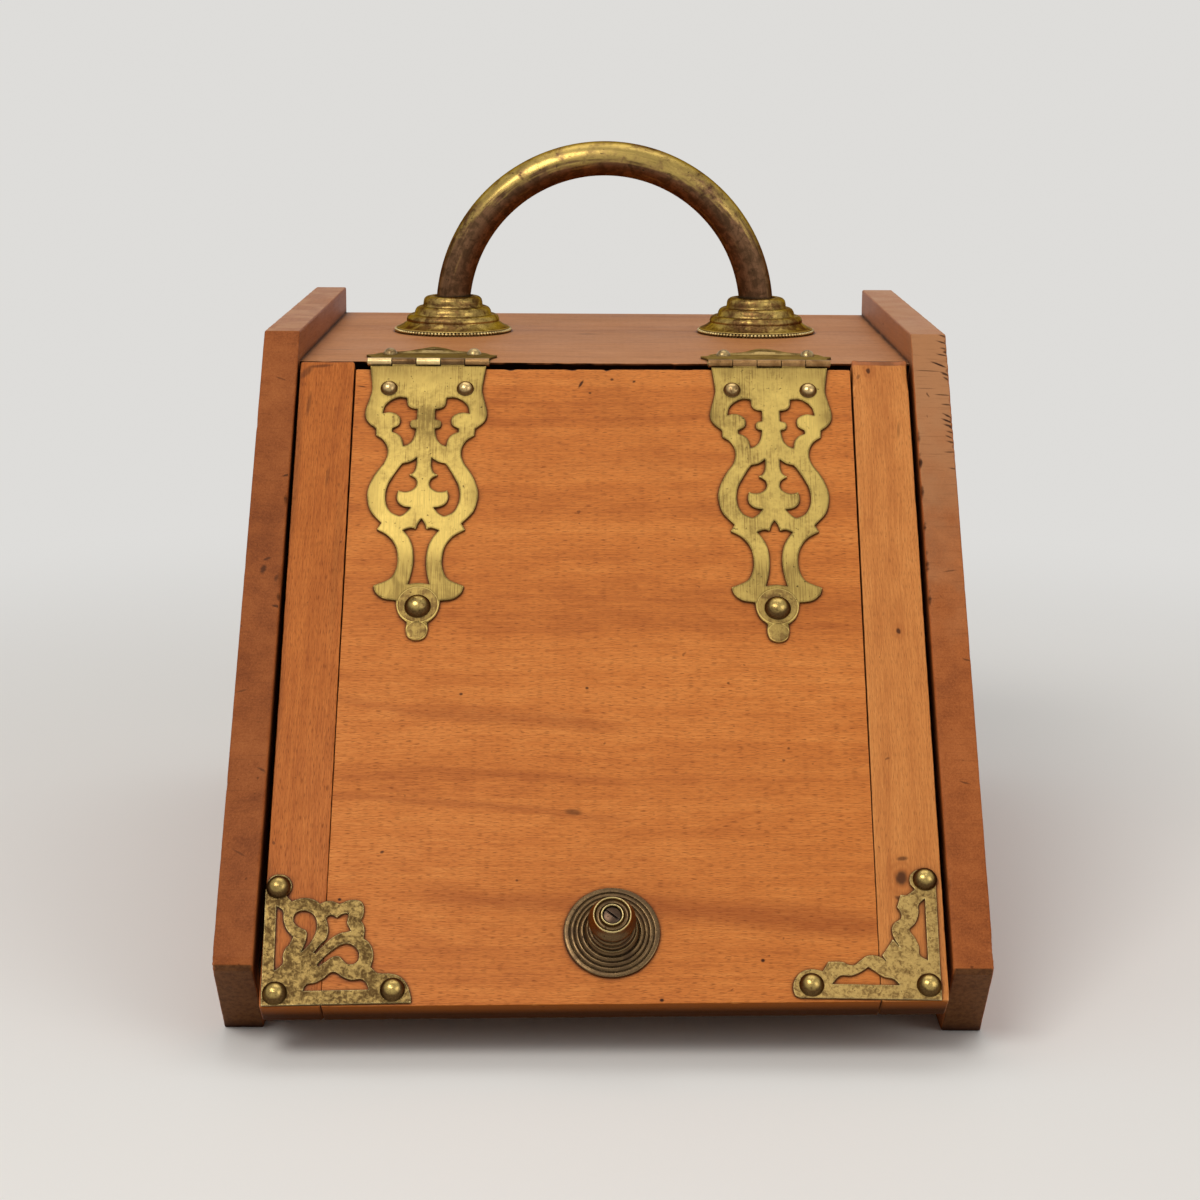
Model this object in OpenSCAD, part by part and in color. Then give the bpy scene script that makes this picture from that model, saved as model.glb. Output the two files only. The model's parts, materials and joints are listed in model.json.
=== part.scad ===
// Slope-front wooden coal box with pierced brass strap hinges, corner mounts,
// a turned pull knob, an arched carrying handle and a loose sheet-metal liner.
// Millimetres. +Z is up, the slope faces -Y, and the box stands on z = 0.

/* [Case] */
// Width over the two side panels
case_w = 355; // [300:1:420]
// Depth of a side panel from its nose to its back edge
case_d = 490; // [450:1:540]
// Height of a side panel
side_h = 306; // [280:1:340]
// Thickness of a side panel
side_t = 18.5; // [14:0.5:22]
// Length of the level top edge of a side panel
side_top_d = 254; // [235:1:280]
// Height of the nose, where the slope meets the undercut
nose_h = 43; // [38:1:50]
// How far the foot of a side panel steps back under its nose
foot_back = 35; // [28:1:42]
// Worn chamfer along the arrises of the side panels
side_arris = 1; // [0.6:0.1:1.6]

/* [Boards] */
// How far the side panels stand above the top board
top_step = 15.5; // [12:0.5:20]
// Thickness of the top board
top_t = 17; // [14:0.5:20]
// Worn flat on the front arris of the top board
top_blunt = 0.6; // [0.4:0.1:1.5]
// Thickness of the back board
back_t = 12; // [9:0.5:15]
// Thickness of the bottom board
bottom_t = 16; // [12:0.5:20]
// Height of the underside of the bottom board above the floor
bottom_lift = 20; // [17:0.5:24]
// Depth of the housings that take the board ends
housing = 6; // [4:0.5:8]
// Clearance of a board in its housing
housing_gap = 0.2; // [0.1:0.05:0.4]

/* [Lid] */
// Thickness of the lid
lid_t = 16.5; // [14:0.5:19]
// Length of the lid down the slope, along its middle
lid_len = 351.5; // [345:0.5:356]
// Angle by which the lower end of the lid is cut out of square
lid_slant = 0.85; // [0:0.05:1.1]
// Gap between the lid and each side panel, half way down
lid_gap = 2.5; // [1.6:0.1:4]
// How far the left edge of the lid leans out at its top and in at its foot
lid_lean = 1.3; // [0:0.1:1.4]
// How far the lid face lies below the sloping edges of the sides
lid_inset = 3; // [2:0.5:5]
// Width of the left end clamp
clamp_left_w = 28; // [25:0.5:34]
// Width of the right end clamp at its foot
clamp_right_w = 30.8; // [27:0.2:36]
// How far the left clamp reaches up past the hinge line
clamp_left_up = 0.9; // [0:0.1:2]
// How far the right clamp reaches up past the hinge line
clamp_right_up = 3.5; // [2.2:0.1:4]
// Length of the worn bevel at the top of the right clamp
clamp_wear = 4; // [2:0.5:5]
// How far the centre panel has shrunk down from the hinge line
panel_drop = 3.2; // [2.6:0.2:5]
// Opening of the left panel joint at the top of the lid
joint_left_open = 1.4; // [0.4:0.1:2.4]
// Opening of the right panel joint at the top of the lid
joint_right_open = 2.2; // [0.4:0.1:2.8]
// Chamfer along the lower arrises of the lid
lid_arris = 1.2; // [0.6:0.1:2]
// Thickness of the tongues that join the panel to the clamps
tongue_t = 5; // [4:0.5:6]
// Length of the tongues
tongue_l = 9; // [6:0.5:12]
// Distance from a tongue's ends to the ends of the panel
tongue_stop = 14; // [8:1:24]
// Clearance of a tongue in its groove
tongue_gap = 0.15; // [0.1:0.05:0.3]
// Gap between the lid and the pieces that it shuts against
shut_gap = 0.3; // [0.2:0.05:0.6]
// Gap between the top end of the lid and the bevelled edge of the top board
swing_gap = 0.8; // [0.6:0.1:1.4]

/* [Strap hinges] */
// Middle of the left hinge, from the left edge of the lid
hinge_left_in = 65; // [63:0.5:72]
// Middle of the right hinge, from the right edge of the lid
hinge_right_in = 71.5; // [66:0.5:74]
// Length of a strap, from the hinge axis to its tip
strap_len = 165; // [150:1:176]
// Width of a strap over its shoulders
strap_w = 62; // [56:1:66]
// Thickness of the brass of straps and leaves
strap_t = 1.3; // [1:0.1:1.6]
// Depth of a top leaf behind the hinge axis
leaf_d = 50; // [46:1:54]
// Width of a top leaf over its side points
leaf_w = 69; // [65:1:70]
// Outside diameter of the hinge knuckles
knuckle_d = 4.4; // [4:0.1:5]
// Length of the row of knuckles
barrel_w = 63; // [58:1:64]
// Number of knuckles in a hinge
knuckles = 5; // [3, 5, 7]
// Diameter of the hinge pin
pin_d = 2.2; // [1.8:0.1:2.4]
// Radial running clearance of the pin in its knuckles
pin_gap = 0.05; // [0.03:0.01:0.08]
// Clearance between neighbouring knuckles
knuckle_gap = 0.3; // [0.2:0.05:0.5]

/* [Dome nails] */
// Diameter of the small domes near the knuckles
small_dome_d = 7.6; // [6.5:0.1:8.5]
// Height of a small dome
small_dome_h = 3.2; // [2.4:0.1:3.6]
// Diameter of the large domes on strap ends and corner mounts
large_dome_d = 11.4; // [10:0.1:11.6]
// Height of a large dome
large_dome_h = 4.4; // [3.4:0.1:5.2]
// Diameter of a nail's shank
shank_d = 2; // [1.6:0.1:2.4]
// Depth to which a nail enters the wood
shank_l = 11; // [8:0.5:12]
// Radial clearance of shanks in their holes
shank_gap = 0.1; // [0.05:0.01:0.15]

/* [Corner mounts] */
// Angle by which the left mount is turned on the lid
mount_left_turn = 1.6; // [0:0.1:2]
// Angle by which the right mount is turned on the lid
mount_right_turn = -0.7; // [-1.5:0.1:1]
// Length of a mount along the bottom edge of the lid
mount_w = 68; // [64:1:72]
// Height of a mount up the side edge of the lid
mount_h = 64.5; // [60:0.5:70]
// Thickness of a mount
mount_t = 1.2; // [1:0.1:1.5]

/* [Knob] */
// Sideways place of the knob, from the middle of the lid
knob_x = 4; // [-10:0.5:10]
// Distance of the knob from the bottom edge of the lid
knob_up = 34.5; // [32:0.5:60]
// Diameter of the ringed backplate
knob_rose_d = 44; // [40:0.5:50]
// Thickness of the backplate at its rings
knob_rose_t = 4.6; // [4.2:0.1:6]
// Diameter of the knob's head
knob_head_d = 22; // [19:0.5:25]
// Height of the knob above the lid
knob_h = 22; // [20.5:0.5:26]
// Diameter of the head of the fixing screw
knob_screw_d = 7.6; // [6:0.2:8.2]

/* [Carrying handle] */
// Diameter of the handle's tube
grip_d = 19.4; // [16:0.2:20]
// Wall of the handle's tube
grip_wall = 1.5; // [1:0.1:2]
// Distance between the two legs of the handle
grip_span = 175; // [160:1:190]
// Height of the middle of the arch above the top board
grip_base = 11.4; // [11:0.2:13]
// Distance of the handle behind the hinge axis
grip_back = 160; // [150:1:180]
// Diameter of a stepped rose over its rim
rose_d = 68; // [64:0.5:72]
// Height of a stepped rose
rose_h = 19.6; // [18:0.2:22]
// Diameter of the studs that hold the handle
stud_d = 8; // [6:0.5:9]

/* [Liner] */
// Thickness of the liner's sheet
liner_t = 1; // [0.8:0.1:1.5]
// Gap between the liner and the side panels
liner_side_gap = 4; // [2:0.5:8]
// Height of the liner at its back
liner_h = 190; // [160:1:205]
// Height of the liner's front lip
liner_lip = 24; // [20:1:40]
// Distance between the liner's opening and the underside of the lid
liner_front_gap = 12; // [9:0.5:20]
// Gap between the liner and the back board
liner_back_gap = 4; // [3:0.5:8]
// Diameter of the wired rim
rim_d = 5; // [4:0.5:6]
// Width of the drop handle in the liner
drop_w = 84; // [70:1:110]
// Drop of the handle below its pivot
drop_l = 46; // [40:1:60]
// Diameter of the handle's wire
drop_wire = 5; // [4:0.5:6]

/* [Hidden] */
$fn = 48;

wood_lid = [0.78, 0.45, 0.22];
wood_side = [0.62, 0.30, 0.17];
wood_top = [0.72, 0.46, 0.32];
wood_plain = [0.55, 0.38, 0.24];
brass_bright = [0.78, 0.68, 0.38];
brass_aged = [0.58, 0.48, 0.26];
bronze_dark = [0.38, 0.31, 0.20];
steel_dull = [0.45, 0.45, 0.44];
liner_black = [0.13, 0.13, 0.14];

eps = 0.01;                         // keeps cutters clear of shared faces
slope = atan((case_d - side_top_d) / (side_h - nose_h));   // from vertical
board_z = side_h - top_step;        // upper face of the top board
inner_w = case_w - 2 * side_t;
lid_w = inner_w - 2 * lid_gap;
hinge_left_x = hinge_left_in - lid_w / 2;
hinge_right_x = lid_w / 2 - hinge_right_in;
// The lower end of the lid at x, up the slope from the hinge line
function foot_s(x) = -lid_len + x * tan(lid_slant);

// Corners of the two mounts on the lid, and the places of their nails, in
// [in from the side edge, up from the bottom edge] of the mount.
mount_left_at = [-lid_w / 2 + 2.3, foot_s(-lid_w / 2 + 2.3) + 0.3];
mount_right_at = [lid_w / 2 - 3.5, foot_s(lid_w / 2 - 3.5) + 0.2];
mount_left_nails = [[6, 57.8], [6.1, 5.8], [59.3, 6.4]];
mount_right_nails = [[5, 59], [5.4, 7], [58.6, 6.2]];
draw_mount = [68, 64.5];            // size for which the mounts are drawn
mount_fx = mount_w / draw_mount[0];
mount_fy = mount_h / draw_mount[1];

// The box is centred front to back over its foremost point, the nail in the
// lower left corner of the lid.
dome_ball = (pow(large_dome_d / 2, 2) + pow(large_dome_h, 2)) / (2 * large_dome_h);
low_nail_s = mount_left_at[1] + mount_left_nails[1][0] * mount_fx * sin(mount_left_turn)
    + mount_left_nails[1][1] * mount_fy * cos(mount_left_turn);
front_reach = dome_ball + (mount_t + large_dome_h - dome_ball) * cos(slope)
    - low_nail_s * sin(slope) - (board_z - nose_h) * tan(slope) - lid_inset / cos(slope);
total_d = case_d + front_reach;
back_y = total_d / 2;
nose_y = back_y - case_d;
top_front_y = back_y - side_top_d;
// Where the plane of the lid's face meets the level of the top board
face_y = top_front_y - top_step * tan(slope) + lid_inset / cos(slope);

// The hinge axis lies in the middle of both brass plates.
axis_s = (strap_t / 2) * (1 - sin(slope)) / cos(slope);
axis_y = face_y - axis_s;
axis_z = board_z + strap_t / 2;
// The front edge of the top board is bevelled parallel to the lid's top end.
top_edge_y = face_y + (max(clamp_left_up, clamp_right_up) + swing_gap) / sin(slope);
function top_bevel(depth) = top_edge_y + depth / tan(slope);
handle_y = axis_y + grip_back;

// ---------------------------------------------------------------- outlines

// A closed outline through hand-set points. A point [x, y, 1] is a corner,
// and the curve runs smoothly through every other point.
function corner(p) = len(p) > 2;
function flat(p) = [p[0], p[1]];
function bend(a, b, c, d, t) = 0.5 * (2 * b + (c - a) * t
    + (2 * a - 5 * b + 4 * c - d) * t * t
    + (3 * b - a - 3 * c + d) * t * t * t);
function span(a, b, c, d, steps) =
    let (p = flat(b), q = flat(c),
         before = corner(b) ? 2 * p - q : flat(a),
         after = corner(c) ? 2 * q - p : flat(d),
         n = corner(b) && corner(c) ? 1 : steps)
    [for (k = [0 : n - 1]) bend(before, p, q, after, k / n)];
function outline(pts, steps = 4) =
    let (n = len(pts))
    [for (i = [0 : n - 1])
        each span(pts[(i + n - 1) % n], pts[i], pts[(i + 1) % n],
                  pts[(i + 2) % n], steps)];
// A point list that is drawn for one size, stretched to another
function stretch(pts, fx, fy) =
    [for (p = pts) corner(p) ? [p[0] * fx, p[1] * fy, 1] : [p[0] * fx, p[1] * fy]];
// The right half of a symmetric outline, joined to its mirror image. The
// first and the last point lie on the middle line.
function both_sides(half) =
    let (n = len(half))
    concat(half, [for (i = [n - 2 : -1 : 1])
        corner(half[i]) ? [-half[i][0], half[i][1], 1] : [-half[i][0], half[i][1]]]);

// ---------------------------------------------------------- placing helpers

// Local x runs across the lid, y up the slope from the hinge line, where the
// lid's face meets the level of the top board, and z out of the lid's face.
module on_face() {
    translate([0, face_y, board_z]) rotate([90 - slope, 0, 0]) children();
}
// Profiles drawn in [y, z], run sideways over a width
module sideways(from_x, to_x) {
    translate([from_x, 0, 0]) rotate([90, 0, 90]) linear_extrude(to_x - from_x) children();
}
// Profiles drawn in [up the slope, out of the face], run across the lid
module across_lid(from_x, to_x) {
    on_face() translate([from_x, 0, 0]) rotate([90, 0, 90])
        linear_extrude(to_x - from_x) children();
}
// A round bar from x = a to x = b
module bar_x(a, b, d) {
    translate([a, 0, 0]) rotate([0, 90, 0]) cylinder(d = d, h = b - a);
}

// ------------------------------------------------------------------- nails

// A domed nail whose head rests on z = 0
module dome_nail(d, h, depth) {
    ball = (d * d / 4 + h * h) / (2 * h);
    intersection() {
        translate([0, 0, h - ball]) sphere(r = ball);
        cylinder(d = d + 1, h = h + 1);
    }
    translate([0, 0, -depth]) cylinder(d = shank_d, h = depth + 0.5, $fn = 24);
    translate([0, 0, -depth - 2]) cylinder(d1 = 0.4, d2 = shank_d, h = 2, $fn = 24);
}
// The hole for that nail, through a plate and into the wood behind it
module nail_hole(depth) {
    translate([0, 0, -depth - 2.5])
        cylinder(d = shank_d + 2 * shank_gap, h = depth + 5, $fn = 24);
}

// ---------------------------------------------------------------- the case

module side_outline() {
    polygon([
        [back_y, 0], [back_y, side_h], [top_front_y, side_h],
        [nose_y, nose_h], [nose_y + foot_back, 0]
    ]);
}

bottom_top_z = bottom_lift + bottom_t;
under_y = face_y + lid_t / cos(slope);      // underside of the lid at board_z
function lid_under(z) = under_y - (board_z - z) * tan(slope);
bottom_front_y = lid_under(bottom_top_z) + shut_gap / cos(slope);
bottom_bevel = bottom_t * foot_back / nose_h;
nail_rows = 3;
carcass_nail_l = 38;
carcass_head_d = 4.6;
carcass_head_t = 1.2;

nail_top_in = 30;                   // outer nails, from the board's edges
nail_bottom_in = 50;
nail_back_in = 40;

// Places of the nails along the end of each board, in [y, z]
function spread(a, b, i) = a + i * (b - a) / (nail_rows - 1);
function top_nail(i) = [spread(top_edge_y + nail_top_in, back_y - nail_top_in, i),
                        board_z - top_t / 2];
function bottom_nail(i) = [spread(bottom_front_y + nail_bottom_in, back_y - nail_bottom_in, i),
                           bottom_lift + bottom_t / 2];
function back_nail(i) = [back_y - back_t / 2,
                         spread(bottom_top_z + nail_back_in,
                                board_z - top_t - nail_back_in, i)];
carcass_spots = [for (i = [0 : nail_rows - 1]) each [top_nail(i), bottom_nail(i), back_nail(i)]];

module carcass_nail_holes() {
    for (p = carcass_spots) translate([0, p[0], p[1]]) {
        bar_x(-case_w / 2 - 1, -case_w / 2 + carcass_nail_l + 0.5, shank_d + 2 * shank_gap);
        bar_x(case_w / 2 - carcass_nail_l - 0.5, case_w / 2 + 1, shank_d + 2 * shank_gap);
        bar_x(-case_w / 2 - 1, -case_w / 2 + carcass_head_t, carcass_head_d + 2 * shank_gap);
        bar_x(case_w / 2 - carcass_head_t, case_w / 2 + 1, carcass_head_d + 2 * shank_gap);
    }
}

module housings() {
    reach = inner_w / 2 + housing + housing_gap;
    sideways(-reach, reach) polygon([
        [top_edge_y, board_z + housing_gap], [top_edge_y, board_z],
        [top_bevel(top_t) - 2 * housing_gap, board_z - top_t],
        [back_y + 2, board_z - top_t], [back_y + 2, board_z + housing_gap]
    ]);
    sideways(-reach, reach) polygon([
        [bottom_front_y - housing_gap, bottom_top_z + housing_gap],
        [bottom_front_y - housing_gap + bottom_bevel, bottom_lift],
        [back_y + 2, bottom_lift], [back_y + 2, bottom_top_z + housing_gap]
    ]);
}

module side_panel(out_x) {
    // out_x is the outer face: -1 for the left panel, 1 for the right
    from = out_x < 0 ? -case_w / 2 : case_w / 2 - side_t;
    difference() {
        translate([from, 0, 0]) rotate([90, 0, 90]) hull() {
            translate([0, 0, side_arris]) linear_extrude(side_t - 2 * side_arris)
                side_outline();
            linear_extrude(side_t) offset(delta = -side_arris) side_outline();
        }
        housings();
        carcass_nail_holes();
    }
}

module side_panel_left() {
    color(wood_side) side_panel(-1);
}

module side_panel_right() {
    color(wood_side) side_panel(1);
}

module top_board() {
    reach = inner_w / 2 + housing;
    color(wood_top) difference() {
        sideways(-reach, reach) polygon([
            [top_edge_y + top_blunt, board_z],
            [top_edge_y + top_blunt, board_z - top_blunt * tan(slope)],
            [top_bevel(top_t), board_z - top_t],
            [back_y, board_z - top_t], [back_y, board_z]
        ]);
        carcass_nail_holes();
        leaf_nail_spots() nail_hole(shank_l);
        handle_spots() translate([0, 0, -top_t - 1])
            cylinder(d = stud_d + 2 * stud_gap, h = top_t + 2);
    }
}

module back_board() {
    color(wood_plain) difference() {
        translate([-inner_w / 2, back_y - back_t, bottom_top_z])
            cube([inner_w, back_t, board_z - top_t - bottom_top_z]);
        carcass_nail_holes();
    }
}

module bottom_board() {
    reach = inner_w / 2 + housing;
    color(wood_plain) difference() {
        sideways(-reach, reach) polygon([
            [bottom_front_y, bottom_top_z],
            [bottom_front_y + bottom_bevel, bottom_lift],
            [back_y, bottom_lift], [back_y, bottom_top_z]
        ]);
        carcass_nail_holes();
    }
}

module carcass_nail() {
    cylinder(d = carcass_head_d, h = carcass_head_t, $fn = 24);
    cylinder(d = shank_d, h = carcass_nail_l, $fn = 24);
}

module carcass_nails() {
    color(steel_dull) for (p = carcass_spots) {
        translate([-case_w / 2, p[0], p[1]]) rotate([0, 90, 0]) carcass_nail();
        translate([case_w / 2, p[0], p[1]]) rotate([0, -90, 0]) carcass_nail();
    }
}

// ----------------------------------------------------------------- the lid

// An edge of a lid piece is [x at the hinge line, x at the foot].
function edge_x(edge, s) = edge[0] + (edge[0] - edge[1]) * s / lid_len;

// A piece of the lid between two edges. Its top end is square to the face,
// and worn down over a length from its front corner.
module lid_piece(left, right, top_s, worn) {
    a = lid_arris;
    low = -lid_len - 12;
    high = top_s + 5;
    intersection() {
        across_lid(-lid_w / 2 - 5, lid_w / 2 + 5) polygon([
            [low, 0], [low, -lid_t], [top_s, -lid_t], [top_s, -worn * 0.3 - eps],
            [top_s - worn - eps, 0]
        ]);
        on_face() translate([0, -lid_len, 0]) rotate([0, 0, lid_slant])
            translate([-lid_w, 0, 0]) rotate([90, 0, 90]) linear_extrude(2 * lid_w)
                polygon([
                    [a + 2, 2], [0, -a], [0, -lid_t + a], [a + 2, -lid_t - 2],
                    [lid_len + 20, -lid_t - 2], [lid_len + 20, 2]
                ]);
        on_face() translate([0, 0, -lid_t - 1]) linear_extrude(lid_t + 2) polygon([
            [edge_x(left, high), high], [edge_x(left, low), low],
            [edge_x(right, low), low], [edge_x(right, high), high]
        ]);
    }
}

joint_left = -lid_w / 2 + clamp_left_w;     // panel joints half way down
joint_right = lid_w / 2 - clamp_right_w;
tongue_mid = -lid_t / 2;

module tongue(grow) {
    // Both tongues, or with grow the room for them in the clamps
    left = joint_left - tongue_l - grow;
    right = joint_right + tongue_l + grow;
    on_face() translate([left, -lid_len + tongue_stop - grow, tongue_mid - tongue_t / 2 - grow])
        cube([right - left, lid_len - panel_drop - 2 * tongue_stop + 2 * grow,
              tongue_t + 2 * grow]);
}

module lid_panel() {
    color(wood_lid) difference() {
        union() {
            lid_piece([joint_left - lid_lean + joint_left_open, joint_left + lid_lean],
                      [joint_right, joint_right], -panel_drop, 0);
            tongue(0);
        }
        lid_holes();
    }
}

module lid_clamp_left() {
    color(wood_lid) difference() {
        lid_piece([-lid_w / 2 - lid_lean, -lid_w / 2 + lid_lean],
                  [joint_left - lid_lean, joint_left + lid_lean], clamp_left_up, 0);
        tongue(tongue_gap);
        lid_holes();
    }
}

module lid_clamp_right() {
    color(wood_lid) difference() {
        lid_piece([joint_right + joint_right_open, joint_right], [lid_w / 2, lid_w / 2],
                  clamp_right_up, clamp_wear);
        tongue(tongue_gap);
        lid_holes();
    }
}

module lid_holes() {
    on_face() {
        strap_nail_spots() nail_hole(shank_l);
        strap_end_spots() nail_hole(shank_l);
        corner_nail_spots() nail_hole(shank_l);
        knob_spot() translate([0, 0, -knob_screw_in - 0.5])
            cylinder(d = knob_shank_d + 2 * shank_gap, h = knob_screw_in + 2, $fn = 32);
    }
}

// ------------------------------------------------------------ strap hinges

// The strap is drawn 62 wide and 165 long, in [x, distance from the axis].
draw_strap = [62, 165];
strap_half = [
    [0, 2.2, 1], [30, 2.2, 1], [29, 10], [28.3, 17.5], [29.5, 24], [31, 30.5], [30.8, 35],
    [28.8, 38.5], [25.3, 41.5, 1], [25, 45.8, 1], [21.5, 48.4], [19.2, 52.5], [18.7, 57.5],
    [20.2, 62.5], [23.4, 67.5], [26, 73], [27.7, 79], [27.6, 84.5], [25.6, 91.5], [20, 98.3, 1],
    [22, 102, 1], [16, 106], [12.2, 112], [11, 119], [11.6, 125], [14.5, 130.6], [22.3, 134.5, 1],
    [21, 138.5], [17, 141.8], [10.8, 142.8, 1], [10.2, 147.5], [8.4, 151.8], [5, 155, 1],
    [5.3, 159.6], [3.8, 163.6], [0, 165]
];
strap_upper = [
    [10.2, 22.6, 1], [14.5, 22.4], [18.2, 24.2], [21.2, 27.6], [22.3, 32.4, 1], [18.5, 31.6],
    [15.2, 32.8], [13.2, 35.2], [13.6, 39.2], [17, 41.6, 1], [17, 43.7, 1], [14, 45], [11.8, 47.8],
    [10.9, 52.5, 1], [8, 50.8], [5.8, 47.5], [4.7, 41.6, 1], [7.2, 40.8], [7.9, 38.6],
    [7.2, 36.7], [4.6, 36, 1], [4.5, 29.6, 1], [7.6, 29], [9.6, 27]
];
strap_lyre = [
    [3.6, 59, 1], [6.8, 61.6], [10.9, 62.8, 1], [13.2, 66.4], [15.8, 71.3], [17.8, 75.8],
    [18.7, 81.5], [18, 87.2], [15.5, 91.8], [11.1, 94.2, 1], [8.6, 92.6], [5.6, 89, 1],
    [9.2, 88.4], [12, 86.2], [13, 82.6], [12.4, 78.8, 1], [9.8, 79.7], [6.7, 79.3], [4.2, 77.5],
    [3.2, 75], [4, 72], [7.2, 69.6, 1], [5, 68], [3.8, 64.5]
];
strap_slot_half = [
    [0, 95.5, 1], [1.6, 98.2], [2.7, 101.6, 1], [5.4, 101], [9, 102.4, 1], [6.2, 106.2],
    [4.1, 111], [3.2, 117], [3.3, 123], [4.1, 128.5], [5.4, 133.6, 1], [0, 132.8]
];
strap_nail_at = [19.6, 17];         // small domes, in the drawing of the strap
strap_end_at = 146.3;               // large dome
// The top leaf is drawn 69 wide and 50 deep, in [x, distance behind the axis].
draw_leaf = [69, 50];
leaf_half = [
    [0, 2.2, 1], [31.4, 2.2, 1], [30.6, 7], [31, 14], [32, 21], [34.5, 27, 1], [31, 29.5],
    [29.4, 33.5], [27, 37], [22.2, 38.5], [17.5, 37.5, 1], [14, 37.2], [11.5, 38.4],
    [8.2, 43], [4.2, 47.5], [0, 50, 1]
];
leaf_eye_half = [[0, 36, 1], [4, 35.6], [7.4, 37.4, 1], [5.2, 40.6], [2.4, 43.6], [0, 45, 1]];
leaf_nail_at = [22.2, 31];

knuckle_w = barrel_w / knuckles;
strap_fx = strap_w / draw_strap[0];
strap_fy = strap_len / draw_strap[1];
leaf_fx = leaf_w / draw_leaf[0];
leaf_fy = leaf_d / draw_leaf[1];

module flip_down() {
    // Outlines are drawn downwards from the hinge axis.
    mirror([0, 1, 0]) children();
}

module strap_shape() {
    difference() {
        polygon(outline(stretch(both_sides(strap_half), strap_fx, strap_fy)));
        for (side = [-1, 1]) {
            polygon(outline(stretch(strap_upper, side * strap_fx, strap_fy)));
            polygon(outline(stretch(strap_lyre, side * strap_fx, strap_fy)));
        }
        polygon(outline(stretch(both_sides(strap_slot_half), strap_fx, strap_fy)));
    }
}

module leaf_shape() {
    difference() {
        polygon(outline(stretch(both_sides(leaf_half), leaf_fx, leaf_fy)));
        polygon(outline(stretch(both_sides(leaf_eye_half), leaf_fx, leaf_fy)));
    }
}

// The knuckles of one half of a hinge, about the x axis. Even ones belong to
// the top leaf and odd ones to the strap. With room, the space around them.
module knuckle_row(odd, room) {
    for (i = [odd : 2 : knuckles - 1]) {
        trim = room > 0 ? -knuckle_gap / 2 : knuckle_gap / 2;
        a = -barrel_w / 2 + i * knuckle_w + (i == 0 && room == 0 ? 0 : trim);
        b = -barrel_w / 2 + (i + 1) * knuckle_w
            - (i == knuckles - 1 && room == 0 ? 0 : trim);
        bar_x(a, b, knuckle_d + 2 * room);
    }
}

// The web that joins a knuckle to its plate
module knuckle_webs(odd) {
    for (i = [odd : 2 : knuckles - 1])
        translate([-barrel_w / 2 + i * knuckle_w + knuckle_gap / 2, 0, -strap_t / 2])
            cube([knuckle_w - knuckle_gap, knuckle_d / 2 + 1, strap_t]);
}

module pin_bore() {
    bar_x(-barrel_w / 2 - 1, barrel_w / 2 + 1, pin_d + 2 * pin_gap);
}

// One hinge half about its own axis: y runs from the axis into the plate.
module hinge_half(odd) {
    difference() {
        union() {
            difference() {
                translate([0, 0, -strap_t / 2]) linear_extrude(strap_t) children();
                knuckle_row(1 - odd, knuckle_gap + 0.1);
            }
            intersection() {
                knuckle_webs(odd);
                translate([-barrel_w / 2, 0, -strap_t]) cube([barrel_w, knuckle_d, 2 * strap_t]);
            }
            knuckle_row(odd, 0);
        }
        pin_bore();
    }
}

module on_axis(x) {
    translate([x, axis_y, axis_z]) children();
}

module strap(x) {
    color(brass_bright) difference() {
        on_axis(x) rotate([90 - slope, 0, 0]) mirror([0, 1, 0]) hinge_half(1) strap_shape();
        on_face() {
            strap_nail_spots() nail_hole(shank_l);
            strap_end_spots() nail_hole(shank_l);
        }
    }
}

module strap_left() {
    strap(hinge_left_x);
}

module strap_right() {
    strap(hinge_right_x);
}

module hinge_leaf(x) {
    color(brass_aged) difference() {
        on_axis(x) hinge_half(0) leaf_shape();
        leaf_nail_spots() nail_hole(shank_l);
    }
}

module hinge_leaf_left() {
    hinge_leaf(hinge_left_x);
}

module hinge_leaf_right() {
    hinge_leaf(hinge_right_x);
}

module hinge_pin(x) {
    color(brass_aged) on_axis(x) bar_x(-barrel_w / 2 - 0.4, barrel_w / 2 + 0.4, pin_d);
}

module hinge_pin_left() {
    hinge_pin(hinge_left_x);
}

module hinge_pin_right() {
    hinge_pin(hinge_right_x);
}

// Nail places. Those on the lid are in its own frame, seated on the brass.
module strap_nail_spots() {
    for (x = [hinge_left_x, hinge_right_x], side = [-1, 1])
        translate([x + side * strap_nail_at[0] * strap_fx,
                   axis_s - strap_nail_at[1] * strap_fy, strap_t]) children();
}

module strap_end_spots() {
    for (x = [hinge_left_x, hinge_right_x])
        translate([x, axis_s - strap_end_at * strap_fy, strap_t]) children();
}

module leaf_nail_spots() {
    for (x = [hinge_left_x, hinge_right_x], side = [-1, 1])
        translate([x + side * leaf_nail_at[0] * leaf_fx,
                   axis_y + leaf_nail_at[1] * leaf_fy, board_z + strap_t]) children();
}

module strap_nails() {
    color(brass_aged) on_face() strap_nail_spots()
        dome_nail(small_dome_d, small_dome_h, shank_l);
}

module strap_end_nails() {
    color(brass_aged) on_face() strap_end_spots()
        dome_nail(large_dome_d, large_dome_h, shank_l);
}

module leaf_nails() {
    color(brass_aged) leaf_nail_spots() dome_nail(small_dome_d, small_dome_h, shank_l);
}

// ----------------------------------------------------------- corner mounts

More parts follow.
